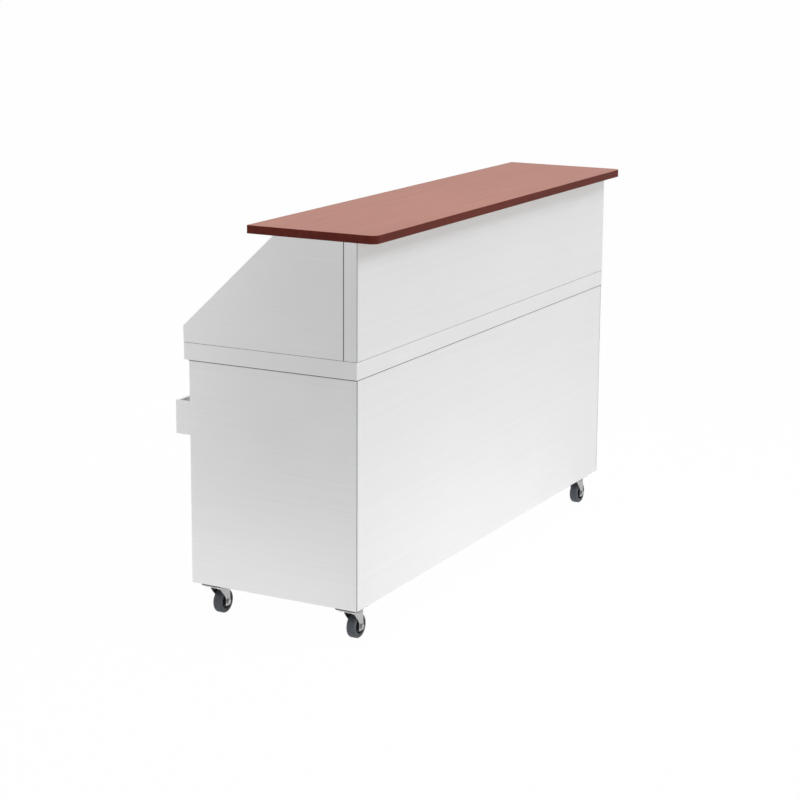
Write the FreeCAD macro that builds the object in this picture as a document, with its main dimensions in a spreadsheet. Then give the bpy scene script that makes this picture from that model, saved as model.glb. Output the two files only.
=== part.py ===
import FreeCAD, Part
import os
import Sketcher
from FreeCAD import Placement, Rotation, Vector

# Mobile bar unit: a sheet-metal cabinet on four swivel casters, with a worktop, a raised wall with
# slanted wings, a laminated bar top, an insulated ice bin with sliding covers and a speed rail.
# The origin is on the floor, midway along the length and midway between the bar top's front edge
# and the speed rail. +Z is up, X runs along the bar, and the customers stand on the -Y side.

# Every size is in millimetres. Sizes "from the front" start at the worktop's front face.
SIZES = {
    "length": 1830,
    "body_depth": 585,
    "panel_height": 704,
    "band_height": 54,
    "work_overhang": 17,
    "sheet": 1.2,
    "heavy_sheet": 1.5,
    "seam": 1.6,
    "fit": 0.3,
    "running": 0.05,
    "flange": 25,
    "short_flange": 15,
    "bend": 2.5,
    "die_height": 349,
    "wall_depth": 44.4,
    "slope_rise": 51,
    "slope_top": 283,
    "wing_flange": 20,
    "bar_overhang": 60,
    "bar_depth": 432,
    "core_thick": 24,
    "laminate": 1.2,
    "edge_band": 1.2,
    "bar_corner": 22,
    "angle_leg": 30,
    "angle_thick": 2,
    "angle_end": 45,
    "channel_wide": 40,
    "channel_high": 22,
    "channel_back": 280,
    "deck_height": 25,
    "base_channel": 106,
    "base_thick": 2,
    "shelf_height": 380,
    "shelf_thick": 25,
    "shelf_leg": 22,
    "post_side": 38,
    "mid_post": 340,
    "bin_length": 530,
    "bin_width": 360,
    "bin_clear": 16,
    "bin_drop": 254,
    "bin_corner": 30,
    "bin_rim": 18,
    "insulation": 25,
    "runner_deep": 12,
    "runner_wall": 2,
    "runner_set": 2,
    "slot_high": 2.4,
    "slot_pitch": 10,
    "cover_thick": 1.5,
    "cover_bite": 8,
    "cover_overlap": 15,
    "pull_high": 6,
    "drain_flange": 28,
    "drain_tube": 16,
    "drain_wall": 3,
    "drain_lip": 2,
    "strainer_hole": 3,
    "strainer_ring": 15,
    "socket_deep": 12,
    "valve_radius": 21,
    "valve_height": 60,
    "valve_bore": 9,
    "ball_radius": 13,
    "nipple_radius": 12.7,
    "nipple_length": 30,
    "boss_radius": 8,
    "boss_length": 12,
    "stem_radius": 4,
    "lever_length": 75,
    "lever_wide": 11,
    "lever_thick": 3,
    "rail_proud": 69,
    "rail_depth": 102,
    "rail_low": 576,
    "rail_front_high": 106,
    "rail_back_high": 150,
    "rail_lip": 13,
    "rail_hem": 6,
    "rail_end_gap": 30,
    "screw_inset": 90,
    "angle_screw": 18,
    "screw_radius": 2.5,
    "screw_head": 5,
    "screw_head_high": 3,
    "screw_length": 18,
    "rail_screw_length": 10,
    "screw_row_low": 112,
    "screw_row_gap": 24,
    "caster_height": 103,
    "caster_inset": 75,
    "caster_margin": 54,
    "spacer_thick": 12,
    "spacer_length": 102,
    "spacer_wide": 68,
    "plate_length": 98,
    "plate_wide": 64,
    "plate_thick": 3,
    "bolt_spacing": 76,
    "bolt_gauge": 44,
    "bolt_radius": 4,
    "bolt_head": 6.5,
    "bolt_head_high": 5,
    "bolt_play": 0.25,
    "raceway_radius": 27,
    "raceway_high": 8,
    "kingpin_radius": 6,
    "kingpin_head": 11,
    "kingpin_head_high": 3,
    "fork_thick": 3,
    "leg_thick": 2.5,
    "leg_end": 13,
    "fork_sweep": 36,
    "trail": 17,
    "wheel_radius": 38,
    "wheel_wide": 30,
    "tread_thick": 11,
    "tread_round": 7,
    "web_wide": 12,
    "rim_thick": 4,
    "hub_radius": 12,
    "hub_play": 0.3,
    "leg_play": 1.5,
    "axle_radius": 5,
    "axle_head": 8,
    "axle_head_high": 5.5,
}

doc = FreeCAD.newDocument("mobile_bar_unit")
sheet = doc.addObject("Spreadsheet::Sheet", "sizes")
for row, (name, value) in enumerate(SIZES.items(), start=1):
    sheet.set(f"A{row}", name)
    sheet.set(f"B{row}", str(value))
    sheet.setAlias(f"B{row}", name)
doc.recompute()


def formula(value):
    """The text of a size, for an expression."""
    return value.text if isinstance(value, Dim) else str(value)


class Dim:
    """A size that is worked out from the sheet. It is kept as a formula until it is needed."""

    def __init__(self, text):
        self.text = text

    def __float__(self):
        return float(sheet.evalExpression(self.text))

    def __add__(self, other):
        return Dim(f"({self.text} + {formula(other)})")

    def __radd__(self, other):
        return Dim(f"({formula(other)} + {self.text})")

    def __sub__(self, other):
        return Dim(f"({self.text} - {formula(other)})")

    def __rsub__(self, other):
        return Dim(f"({formula(other)} - {self.text})")

    def __mul__(self, other):
        return Dim(f"({self.text} * {formula(other)})")

    def __rmul__(self, other):
        return Dim(f"({formula(other)} * {self.text})")

    def __truediv__(self, other):
        return Dim(f"({self.text} / {formula(other)})")

    def __neg__(self):
        return Dim(f"(-1 * {self.text})")


def cosine(degrees):
    return Dim(f"cos({degrees})")


def sine(degrees):
    return Dim(f"sin({degrees})")


class Sizes:
    """The sheet's sizes by name, each as a Dim."""

    def __getattr__(self, name):
        return Dim(f"sizes.{name}")


s = Sizes()
sub_parts = []


def keep(item, label):
    """Names a finished sub-part and lists it for writing."""
    item.Label = label
    sub_parts.append(item)
    return item


def bind(item, prop, value):
    item.setExpression(prop, formula(value))


def place(item, x=0, y=0, z=0, turn=Rotation()):
    item.Placement = Placement(Vector(), turn)
    for axis, value in zip("xyz", (x, y, z)):
        bind(item, f"Placement.Base.{axis}", value)
    return item


# Primitives: a box between two places on each axis, a rod, and their sums and differences.

TURNS = {
    "x": Rotation(Vector(0, 1, 0), 90),
    "y": Rotation(Vector(1, 0, 0), -90),
    "z": Rotation(),
}


def box(x, y, z):
    item = doc.addObject("Part::Box", "Box")
    for prop, (low, high) in zip(("Length", "Width", "Height"), (x, y, z)):
        bind(item, prop, high - low)
    return place(item, x[0], y[0], z[0])


def rod(radius, start, length, axis="z"):
    item = doc.addObject("Part::Cylinder", "Rod")
    bind(item, "Radius", radius)
    bind(item, "Height", length)
    return place(item, *start, turn=TURNS[axis])


def bar_of_sides(sides, across, start, length, axis="z"):
    """A prism such as a bolt's head: across is its corner radius."""
    item = doc.addObject("Part::Prism", "Prism")
    item.Polygon = sides
    bind(item, "Circumradius", across)
    bind(item, "Height", length)
    return place(item, *start, turn=TURNS[axis])


def join(*items):
    whole = doc.addObject("Part::MultiFuse", "Joined")
    whole.Shapes = items
    return whole


def group(items):
    whole = doc.addObject("Part::Compound", "Group")
    whole.Links = items
    return whole


def carve(base, *tools):
    cut = doc.addObject("Part::Cut", "Carved")
    cut.Base = base
    cut.Tool = tools[0] if len(tools) == 1 else group(tools)
    return cut


# Bodies: an outline on one of the body's own planes, padded or pocketed between two places.


def new_body(x=0, y=0, z=0):
    return place(doc.addObject("PartDesign::Body", "Body"), x, y, z)


def sketch_on(body, plane, start, end):
    """A sketch that lies where the stretch from start to end begins. XZ looks along -Y."""
    sketch = body.newObject("Sketcher::SketchObject", "Sketch")
    support = next(item for item in body.Origin.OriginFeatures if item.Role == f"{plane}_Plane")
    sketch.AttachmentSupport = [(support, "")]
    sketch.MapMode = "FlatFace"
    bind(sketch, "AttachmentOffset.Base.z", -end if plane == "XZ" else start)
    return sketch


def draw_outline(sketch, points):
    """A closed outline of straight lines, each corner held by its distances from the origin."""
    corners = [Vector(float(across), float(up), 0) for across, up in points]
    first = sketch.GeometryCount
    count = len(corners)
    for index, corner in enumerate(corners):
        sketch.addGeometry(Part.LineSegment(corner, corners[(index + 1) % count]))
    for index, (across, up) in enumerate(points):
        line = first + index
        following = first + (index + 1) % count
        sketch.addConstraint(Sketcher.Constraint("Coincident", line, 2, following, 1))
        hold_point(sketch, line, 1, across, up)


def hold_point(sketch, line, end, across, up):
    for kind, value in (("DistanceX", across), ("DistanceY", up)):
        held = sketch.addConstraint(Sketcher.Constraint(kind, -1, 1, line, end, float(value)))
        bind(sketch, f"Constraints[{held}]", value)


def draw_circle(sketch, centre, radius):
    middle = Vector(float(centre[0]), float(centre[1]), 0)
    circle = sketch.addGeometry(Part.Circle(middle, Vector(0, 0, 1), float(radius)))
    held = sketch.addConstraint(Sketcher.Constraint("Radius", circle, float(radius)))
    bind(sketch, f"Constraints[{held}]", radius)
    hold_point(sketch, circle, 3, *centre)


def stretch(body, kind, plane, start, end, outline=None, circles=()):
    """Pads or pockets an outline, circles, or both, between two places across the plane."""
    sketch = sketch_on(body, plane, start, end)
    if outline:
        draw_outline(sketch, outline)
    for centre, radius in circles:
        draw_circle(sketch, centre, radius)
    feature = body.newObject(f"PartDesign::{kind}", kind)
    feature.Profile = sketch
    bind(feature, "Length", end - start)
    feature.Reversed = kind == "Pocket"
    return feature


def pad(body, plane, start, end, outline=None, circles=()):
    return stretch(body, "Pad", plane, start, end, outline, circles)


def pocket(body, plane, start, end, outline=None, circles=()):
    doc.recompute()
    before = body.Shape.Volume
    feature = stretch(body, "Pocket", plane, start, end, outline, circles)
    doc.recompute()
    if not body.Shape.Volume < before:
        raise RuntimeError(f"a pocket of {body.Label} cuts nothing")
    return feature


def turned(points):
    """A body turned about its own Z axis: points are (radius, height)."""
    body = new_body()
    sketch = sketch_on(body, "XZ", 0, 0)
    draw_outline(sketch, points)
    feature = body.newObject("PartDesign::Revolution", "Turned")
    feature.Profile = sketch
    feature.ReferenceAxis = (sketch, ["V_Axis"])
    feature.Angle = 360
    return body


def section(plane, start, end, points):
    """A body of one section from start to end."""
    body = new_body()
    pad(body, plane, start, end, points)
    return body


def rectangle(across, up):
    return [(across[0], up[0]), (across[1], up[0]), (across[1], up[1]), (across[0], up[1])]


def round_edges(body, radius, wanted):
    """Rounds the edges of the body for which wanted(edge) is true."""
    doc.recompute()
    last = body.Tip
    names = [f"Edge{n}" for n, edge in enumerate(last.Shape.Edges, start=1) if wanted(edge)]
    if not names:
        raise RuntimeError(f"no edge to round on {body.Label}")
    feature = body.newObject("PartDesign::Fillet", "Rounded")
    feature.Base = (last, names)
    bind(feature, "Radius", radius)


def near(value, target):
    return abs(value - float(target)) < 0.01


def upright_at(*places):
    """Picks the edges that run along Z at any of the given (x, y) places."""

    def wanted(edge):
        size = edge.BoundBox
        middle = edge.CenterOfMass
        upright = size.XLength < 0.01 and size.YLength < 0.01
        return upright and any(near(middle.x, x) and near(middle.y, y) for x, y in places)

    return wanted


def level_at(height, x_span, y_span):
    """Picks the flat edges at one height that bound a rectangle."""

    def wanted(edge):
        size = edge.BoundBox
        middle = edge.CenterOfMass
        on_side = any(near(middle.x, x) for x in x_span) or any(near(middle.y, y) for y in y_span)
        return near(size.ZMin, height) and near(size.ZMax, height) and on_side

    return wanted


def hoop_of(radius):
    """Picks the full circles of one radius."""

    def wanted(edge):
        circle = edge.Curve if edge.isClosed() else None
        return isinstance(circle, Part.Circle) and near(circle.Radius, radius)

    return wanted


def corners_of(x, y):
    return [(x[0], y[0]), (x[1], y[0]), (x[1], y[1]), (x[0], y[1])]


def grown(span, by):
    return span[0] - by, span[1] + by


def tray(x, y, z, wall, mouth="up"):
    """A box of thin walls, open at the top or at the bottom."""
    body = new_body()
    pad(body, "XY", *z, rectangle(x, y))
    inside = (z[0] + wall, z[1]) if mouth == "up" else (z[0], z[1] - wall)
    pocket(body, "XY", *inside, rectangle(grown(x, -wall), grown(y, -wall)))
    return body


def block(x, y, z, radius, corners):
    """A solid block with some of its upright corners rounded."""
    body = new_body()
    pad(body, "XY", *z, rectangle(x, y))
    round_edges(body, radius, upright_at(*corners))
    return body


def tube(x, y, z, wall, axis="z"):
    """A square tube along one axis."""
    inner = [grown(x, -wall), grown(y, -wall), grown(z, -wall)]
    along = "xyz".index(axis)
    inner[along] = (x, y, z)[along]
    return carve(box(x, y, z), box(*inner))


# Places that many sub-parts share.

right = s.length / 2
left = -right
front = (s.bar_overhang - s.body_depth - s.rail_proud) / 2
base = s.caster_height + s.spacer_thick
work = base + s.panel_height + s.band_height
under_work = work - s.heavy_sheet
die_top = work + s.die_height

skirt_gap = s.heavy_sheet + s.fit
body_left = left + skirt_gap
body_right = right - skirt_gap
body_front = front + skirt_gap
body_back = front + s.body_depth
inner_left = body_left + s.sheet
inner_right = body_right - s.sheet
inner_front = body_front + s.sheet
work_back = body_back + s.work_overhang
rail_back = body_back + s.rail_proud - s.rail_depth
post_front = rail_back - s.post_side
deck_top = base + s.deck_height

x_inside = (inner_left, inner_right)
SIDES = {"left": -1, "right": 1}


def mirrored_span(side, near_end, far_end):
    """A span along X, given by distances from the middle, on the left or the right side."""
    ends = (side * near_end, side * far_end)
    return ends if side > 0 else ends[::-1]


# Lower panels: the front one carries a flange above and below, the end ones turn in at the back.


def lower_front_panel():
    flange_back = body_front + s.short_flange
    outline = [
        (body_front, base),
        (flange_back, base),
        (flange_back, base + s.sheet),
        (inner_front, base + s.sheet),
        (inner_front, under_work - s.sheet),
        (flange_back, under_work - s.sheet),
        (flange_back, under_work),
        (body_front, under_work),
    ]
    keep(section("YZ", inner_left + s.seam, inner_right - s.seam, outline), "lower_front_panel")


def lower_end_panel(name, side):
    outer = side * body_right
    inner = side * inner_right
    flange_end = side * (body_right - s.flange)
    outline = [
        (outer, body_front),
        (outer, body_back),
        (flange_end, body_back),
        (flange_end, body_back - s.sheet),
        (inner, body_back - s.sheet),
        (inner, body_front),
    ]
    body = section("XY", base, under_work, outline)
    round_edges(body, s.bend, upright_at((outer, body_back)))
    round_edges(body, s.bend - s.sheet, upright_at((inner, body_back - s.sheet)))
    keep(body, f"lower_end_panel_{name}")


# Base: a deck with turned-down edges, two channels across it, and a spacer over each caster.

CASTERS = {
    "front_left": (-1, -1),
    "front_right": (1, -1),
    "rear_left": (-1, 1),
    "rear_right": (1, 1),
}
kingpin_x = right - s.caster_inset
middle_y = front + s.body_depth / 2
kingpin_y = s.body_depth / 2 - s.caster_margin


def caster_place(name):
    along, across = CASTERS[name]
    return along * kingpin_x, middle_y + across * kingpin_y


def bolt_places(name):
    x, y = caster_place(name)
    return [(x + i * s.bolt_spacing / 2, y + j * s.bolt_gauge / 2) for i in (-1, 1) for j in (-1, 1)]


def bolt_holes(names, low, high):
    spots = [spot for name in names for spot in bolt_places(name)]
    radius = s.bolt_radius + s.bolt_play
    return [rod(radius, (x, y, low), high - low) for x, y in spots]


def base_deck():
    y = (inner_front, body_back - s.sheet)
    deck = tray(x_inside, y, (base + s.sheet, deck_top), s.sheet, mouth="down")
    keep(deck, "base_deck")


def base_channels():
    y = (inner_front + s.sheet, body_back - 2 * s.sheet)
    z = (base + s.sheet, deck_top - s.sheet)
    channels = []
    for side in SIDES.values():
        middle = side * kingpin_x
        x = (middle - s.base_channel / 2, middle + s.base_channel / 2)
        channels.append(tube(x, y, z, s.base_thick, axis="y"))
    holes = bolt_holes(CASTERS, z[0], z[0] + s.base_thick)
    keep(carve(group(channels), *holes), "base_channels")


def caster_spacers():
    z = (s.caster_height, base + s.sheet)
    blocks = []
    for name in CASTERS:
        x, y = caster_place(name)
        x_span = (x - s.spacer_length / 2, x + s.spacer_length / 2)
        y_span = (y - s.spacer_wide / 2, y + s.spacer_wide / 2)
        blocks.append(box(x_span, y_span, z))
    keep(carve(group(blocks), *bolt_holes(CASTERS, *z)), "caster_spacers")


# Inside: posts behind the speed rail, a shelf, and the angles that hold the shelf's ends.


def rail_screw_heights():
    low = s.rail_low + s.screw_row_low
    return [low, low + s.screw_row_gap]


def post_holes(x):
    radius = s.screw_radius + s.running
    length = s.rail_screw_length
    return [rod(radius, (x, rail_back - length, z), length, "y") for z in rail_screw_heights()]


end_post_x = inner_right - s.post_side / 2


def post(x):
    x_span = (x - s.post_side / 2, x + s.post_side / 2)
    return tube(x_span, (post_front, rail_back), (deck_top, under_work), s.heavy_sheet)


def rear_posts():
    for name, side in SIDES.items():
        x = side * end_post_x
        keep(carve(post(x), *post_holes(x)), f"rear_post_{name}")
    middles = [carve(post(side * s.mid_post), *post_holes(side * s.mid_post)) for side in SIDES.values()]
    keep(group(middles), "middle_posts")


def mid_shelf():
    z = (s.shelf_height - s.shelf_thick, s.shelf_height)
    shelf = tray(x_inside, (inner_front, post_front), z, s.sheet, mouth="down")
    keep(shelf, "mid_shelf")


def shelf_angle(name, side):
    wall = side * inner_right
    leg_end = side * (inner_right - s.shelf_leg)
    face = side * (inner_right - s.angle_thick)
    top = s.shelf_height - s.shelf_thick
    outline = [
        (wall, top),
        (leg_end, top),
        (leg_end, top - s.angle_thick),
        (face, top - s.angle_thick),
        (face, top - s.shelf_leg),
        (wall, top - s.shelf_leg),
    ]
    keep(section("XZ", inner_front, post_front, outline), f"shelf_angle_{name}")


# Worktop: a pan turned upside down, with a round-cornered opening for the ice bin.

bin_x = (-s.bin_length / 2, s.bin_length / 2)
bin_back = rail_back - s.bin_clear - s.sheet - s.insulation + s.fit
bin_y = (bin_back - s.bin_width, bin_back)
bin_floor = work - s.bin_drop
drain_y = (bin_y[0] + bin_y[1]) / 2


def worktop():
    x = (left, right)
    y = (front, work_back)
    low = work - s.band_height
    body = new_body()
    pad(body, "XY", low, work, rectangle(x, y))
    round_edges(body, s.bend, upright_at(*corners_of(x, y)))
    round_edges(body, s.bend, level_at(work, x, y))
    pocket(body, "XY", low, under_work, rectangle(grown(x, -s.heavy_sheet), grown(y, -s.heavy_sheet)))
    pocket(body, "XY", under_work, work, rectangle(bin_x, bin_y))
    round_edges(body, s.bin_corner, upright_at(*corners_of(bin_x, bin_y)))
    keep(body, "worktop")


# Raised wall: the front panel returns round both corners, and the back panel closes it.

wall_back = front + s.wall_depth


def die_front_panel():
    outline = [
        (left, front),
        (right, front),
        (right, wall_back),
        (right - s.sheet, wall_back),
        (right - s.sheet, front + s.sheet),
        (left + s.sheet, front + s.sheet),
        (left + s.sheet, wall_back),
        (left, wall_back),
    ]
    body = section("XY", work, die_top, outline)
    round_edges(body, s.bend, upright_at((left, front), (right, front)))
    inner_corners = [(left + s.sheet, front + s.sheet), (right - s.sheet, front + s.sheet)]
    round_edges(body, s.bend - s.sheet, upright_at(*inner_corners))
    keep(body, "die_front_panel")


def die_back_panel():
    ahead = front + s.bend
    outline = [
        (ahead, work),
        (wall_back, work),
        (wall_back, die_top),
        (ahead, die_top),
        (ahead, die_top - s.sheet),
        (wall_back - s.sheet, die_top - s.sheet),
        (wall_back - s.sheet, work + s.sheet),
        (ahead, work + s.sheet),
    ]
    keep(section("YZ", left + s.bend, right - s.bend, outline), "die_back_panel")


def wing_outline(inset):
    """The wing seen from its end. With an inset it is the hollow inside its flanges."""
    start = wall_back + s.seam
    run = work_back - (front + s.slope_top)
    rise = s.die_height - s.slope_rise
    slant = f"sqrt(pow({formula(run)}; 2) + pow({formula(rise)}; 2))"
    slope_length = Dim(slant)
    # Moving the slope inward by the inset lowers it by this much, measured upright.
    drop = inset * slope_length / run
    back = work_back - inset
    back_high = work + s.slope_rise - drop + inset * rise / run
    top = die_top - inset
    top_back = front + s.slope_top - drop * run / rise + inset * run / rise
    return [
        (start + inset, work + inset),
        (back, work + inset),
        (back, back_high),
        (top_back, top),
        (start + inset, top),
    ]


def die_end_panel(name, side):
    x = mirrored_span(side, right - s.wing_flange, right)
    hollow = mirrored_span(side, right - s.wing_flange, right - s.sheet)
    body = section("YZ", *x, wing_outline(0))
    pocket(body, "YZ", *hollow, wing_outline(s.sheet))
    keep(body, f"die_end_panel_{name}")


# Bar top: a board with a laminate face and an edge band, on an angle and a channel.

bar_x = (left, right)
bar_y = (front - s.bar_overhang, front - s.bar_overhang + s.bar_depth)
core_top = die_top + s.core_thick
SCREWS_PER_ROW = 6


def screw_line(y):
    """Places of one row of bar-top screws, evenly spread along the length."""
    first = left + s.screw_inset
    pitch = (s.length - 2 * s.screw_inset) / (SCREWS_PER_ROW - 1)
    return [(first + number * pitch, y) for number in range(SCREWS_PER_ROW)]


angle_screw_y = wall_back + s.angle_screw
channel_y = (front + s.channel_back - s.channel_wide, front + s.channel_back)
channel_screw_y = (channel_y[0] + channel_y[1]) / 2
bar_screw_places = screw_line(angle_screw_y) + screw_line(channel_screw_y)


def slab(x, y, z, corner):
    """A board whose two corners on the customers' side are round."""
    return block(x, y, z, corner, [(x[0], y[0]), (x[1], y[0])])


def bar_screw_holes(low, high, places):
    radius = s.screw_radius + s.running
    return [rod(radius, (x, y, low), high - low) for x, y in places]


def bar_top():
    core_x = grown(bar_x, -s.edge_band)
    core_y = grown(bar_y, -s.edge_band)
    core_corner = s.bar_corner - s.edge_band
    core = slab(core_x, core_y, (die_top, core_top), core_corner)
    holes = bar_screw_holes(die_top, die_top - s.angle_thick + s.screw_length, bar_screw_places)
    keep(carve(core, *holes), "bar_top_core")
    outside = slab(bar_x, bar_y, (die_top, core_top), s.bar_corner)
    inside = slab(core_x, core_y, (die_top, core_top), core_corner)
    keep(carve(outside, inside), "bar_top_edge_band")
    face = slab(bar_x, bar_y, (core_top, core_top + s.laminate), s.bar_corner)
    keep(face, "bar_top_laminate")


def bar_top_angle():
    low = die_top - s.angle_leg
    outline = [
        (wall_back, low),
        (wall_back + s.angle_thick, low),
        (wall_back + s.angle_thick, die_top - s.angle_thick),
        (wall_back + s.angle_leg, die_top - s.angle_thick),
        (wall_back + s.angle_leg, die_top),
        (wall_back, die_top),
    ]
    bar = section("YZ", left + s.angle_end, right - s.angle_end, outline)
    holes = bar_screw_holes(die_top - s.angle_thick, die_top, screw_line(angle_screw_y))
    keep(carve(bar, *holes), "bar_top_angle")


def bar_top_channel():
    low = die_top - s.channel_high
    web = die_top - s.angle_thick
    outline = [
        (channel_y[0], low),
        (channel_y[0] + s.angle_thick, low),
        (channel_y[0] + s.angle_thick, web),
        (channel_y[1] - s.angle_thick, web),
        (channel_y[1] - s.angle_thick, low),
        (channel_y[1], low),
        (channel_y[1], die_top),
        (channel_y[0], die_top),
    ]
    bar = section("YZ", left + s.wing_flange, right - s.wing_flange, outline)
    holes = bar_screw_holes(web, die_top, screw_line(channel_screw_y))
    keep(carve(bar, *holes), "bar_top_channel")


def bar_top_screws():
    seat = die_top - s.angle_thick
    screws = []
    for x, y in bar_screw_places:
        head = rod(s.screw_head, (x, y, seat - s.screw_head_high), s.screw_head_high)
        shank = rod(s.screw_radius, (x, y, seat), s.screw_length)
        screws.append(join(head, shank))
    keep(group(screws), "bar_top_screws")


# Ice bin: a drawn liner with a rim on the worktop, insulation round it, and an outer jacket.

liner_x = grown(bin_x, -s.fit)
liner_y = grown(bin_y, -s.fit)
liner_corner = s.bin_corner - s.fit
rim_top = work + s.sheet
liner_floor = bin_floor + s.sheet
foam_x = grown(liner_x, s.insulation)
foam_y = grown(liner_y, s.insulation)
foam_floor = bin_floor - s.insulation
jacket_floor = foam_floor - s.sheet


def ice_bin_liner():
    rim_x = grown(bin_x, s.bin_rim)
    rim_y = grown(bin_y, s.bin_rim)
    inner_x = grown(liner_x, -s.sheet)
    inner_y = grown(liner_y, -s.sheet)
    tub = block(liner_x, liner_y, (bin_floor, rim_top), liner_corner, corners_of(liner_x, liner_y))
    rim = block(rim_x, rim_y, (work, rim_top), s.bin_rim, corners_of(rim_x, rim_y))
    inner_corners = corners_of(inner_x, inner_y)
    hollow = block(inner_x, inner_y, (liner_floor, rim_top), liner_corner - s.sheet, inner_corners)
    hole = rod(s.drain_tube + s.fit, (0, drain_y, bin_floor), s.sheet)
    keep(carve(join(tub, rim), hollow, hole), "ice_bin_liner")


def ice_bin_insulation():
    body = new_body()
    pad(body, "XY", foam_floor, under_work, rectangle(foam_x, foam_y))
    pocket(body, "XY", bin_floor, under_work, rectangle(liner_x, liner_y))
    round_edges(body, liner_corner, upright_at(*corners_of(liner_x, liner_y)))
    pocket(body, "XY", foam_floor, bin_floor, circles=[((0, drain_y), s.drain_tube + s.fit)])
    keep(body, "ice_bin_insulation")


def ice_bin_jacket():
    x = grown(foam_x, s.sheet)
    y = grown(foam_y, s.sheet)
    body = tray(x, y, (jacket_floor, under_work), s.sheet)
    pocket(body, "XY", jacket_floor, foam_floor, circles=[((0, drain_y), s.drain_tube + s.fit)])
    keep(body, "ice_bin_jacket")


# Covers: two sheets in the upper and the lower slots of a pair of runners on the bin's rim.

slot_low = rim_top + s.runner_wall
slot_high = slot_low + s.slot_pitch
runner_top = slot_high + s.slot_high + s.runner_wall
runner_back = {-1: bin_y[0] - s.runner_set - s.runner_deep, 1: bin_y[1] + s.runner_set + s.runner_deep}
runner_x = grown(bin_x, s.bin_rim)


def runner(side):
    back = runner_back[side]
    face = back - side * s.runner_deep
    groove = back - side * s.runner_wall
    outline = [(back, rim_top), (face, rim_top)]
    for low in (slot_low, slot_high):
        outline += [(face, low), (groove, low), (groove, low + s.slot_high), (face, low + s.slot_high)]
    outline += [(face, runner_top), (back, runner_top)]
    return section("YZ", *runner_x, outline)


def cover_runners():
    keep(group([runner(-1), runner(1)]), "cover_runners")


def bin_cover(name, side, slot):
    inner = side * -1 * s.cover_overlap
    outer = side * (s.bin_length / 2 + s.runner_set)
    x = (outer, inner) if side < 0 else (inner, outer)
    reach = s.runner_set + s.cover_bite
    y = grown(bin_y, reach)
    z = slot + s.fit
    body = new_body()
    pad(body, "XY", z, z + s.cover_thick, rectangle(x, y))
    lip = mirrored_span(side, s.bin_length / 2 + s.runner_set - s.cover_thick, s.bin_length / 2 + s.runner_set)
    pad(body, "XY", z + s.cover_thick, z + s.pull_high, rectangle(lip, bin_y))
    keep(body, f"bin_cover_{name}")


# Drain: a flanged tailpiece with a strainer, and a ball valve with a quarter-turn lever.

valve_top = jacket_floor - s.fit
tail_end = valve_top - s.socket_deep
valve_low = valve_top - s.valve_height
tail_bore = s.drain_tube - s.drain_wall
ball_z = (tail_end + valve_low) / 2
drain = (0, drain_y)
STRAINER_HOLES = 6


def drain_tailpiece():
    flange = rod(s.drain_flange, (*drain, liner_floor), s.drain_lip)
    pipe = rod(s.drain_tube, (*drain, tail_end), liner_floor - tail_end)
    bore = rod(tail_bore, (*drain, tail_end), liner_floor + s.drain_lip - tail_end)
    keep(carve(join(flange, pipe), bore), "drain_tailpiece")


def drain_strainer():
    low = liner_floor + s.drain_lip
    disc = rod(s.drain_flange - s.drain_wall, (*drain, low), s.sheet)
    holes = [rod(s.strainer_hole, (*drain, low), s.sheet)]
    for number in range(STRAINER_HOLES):
        angle = number * 360 / STRAINER_HOLES
        x = s.strainer_ring * cosine(angle)
        y = drain_y + s.strainer_ring * sine(angle)
        holes.append(rod(s.strainer_hole, (x, y, low), s.sheet))
    keep(carve(disc, *holes), "drain_strainer")


def valve_body():
    shell = rod(s.valve_radius, (*drain, valve_low), s.valve_height)
    nipple = rod(s.nipple_radius, (*drain, valve_low - s.nipple_length), s.nipple_length)
    boss_reach = s.valve_radius + s.boss_length
    boss = rod(s.boss_radius, (0, drain_y, ball_z), boss_reach, "y")
    whole_height = s.nipple_length + s.valve_height
    bore = rod(s.valve_bore, (*drain, valve_low - s.nipple_length), whole_height)
    socket = rod(s.drain_tube + s.running, (*drain, tail_end), s.socket_deep)
    seat = doc.addObject("Part::Sphere", "Seat")
    bind(seat, "Radius", s.ball_radius + s.fit)
    place(seat, 0, drain_y, ball_z)
    stem_hole = rod(s.stem_radius + s.running, (0, drain_y, ball_z), boss_reach, "y")
    keep(carve(join(shell, nipple, boss), join(bore, socket, seat, stem_hole)), "valve_body")


def valve_ball():
    ball = doc.addObject("Part::Sphere", "Ball")
    bind(ball, "Radius", s.ball_radius)
    # The turn keeps the sphere's seam clear of both holes.
    place(ball, 0, drain_y, ball_z, Rotation(Vector(0, 0, 1), 45))
    reach = s.ball_radius + s.fit
    bore = rod(s.valve_bore, (-reach, drain_y, ball_z), 2 * reach, "x")
    key_hole = s.stem_radius + s.running
    key = rod(key_hole, (0, drain_y + s.valve_bore + s.fit, ball_z), reach, "y")
    keep(carve(ball, join(bore, key)), "valve_ball")


def valve_lever():
    inner_end = drain_y + s.valve_bore + s.fit
    outer_end = drain_y + s.valve_radius + s.boss_length + s.fit
    stem = rod(s.stem_radius, (0, inner_end, ball_z), outer_end - inner_end + s.lever_thick, "y")
    half = s.lever_wide / 2
    y = (outer_end, outer_end + s.lever_thick)
    arm = box((0, s.lever_length), y, (ball_z - half, ball_z + half))
    heel = rod(half, (0, outer_end, ball_z), s.lever_thick, "y")
    tip = rod(half, (s.lever_length, outer_end, ball_z), s.lever_thick, "y")
    keep(join(stem, arm, heel, tip), "valve_lever")


# Speed rail: a high back screwed to the posts, a trough folded round the bottles' feet and welded
# to it, and a plate over each end.

rail_face = rail_back + s.sheet
rail_front = rail_back + s.rail_depth
rail_end = right - s.rail_end_gap
rail_x = (s.sheet - rail_end, rail_end - s.sheet)
rail_top = s.rail_low + s.rail_front_high
rail_floor = s.rail_low + s.sheet


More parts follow.
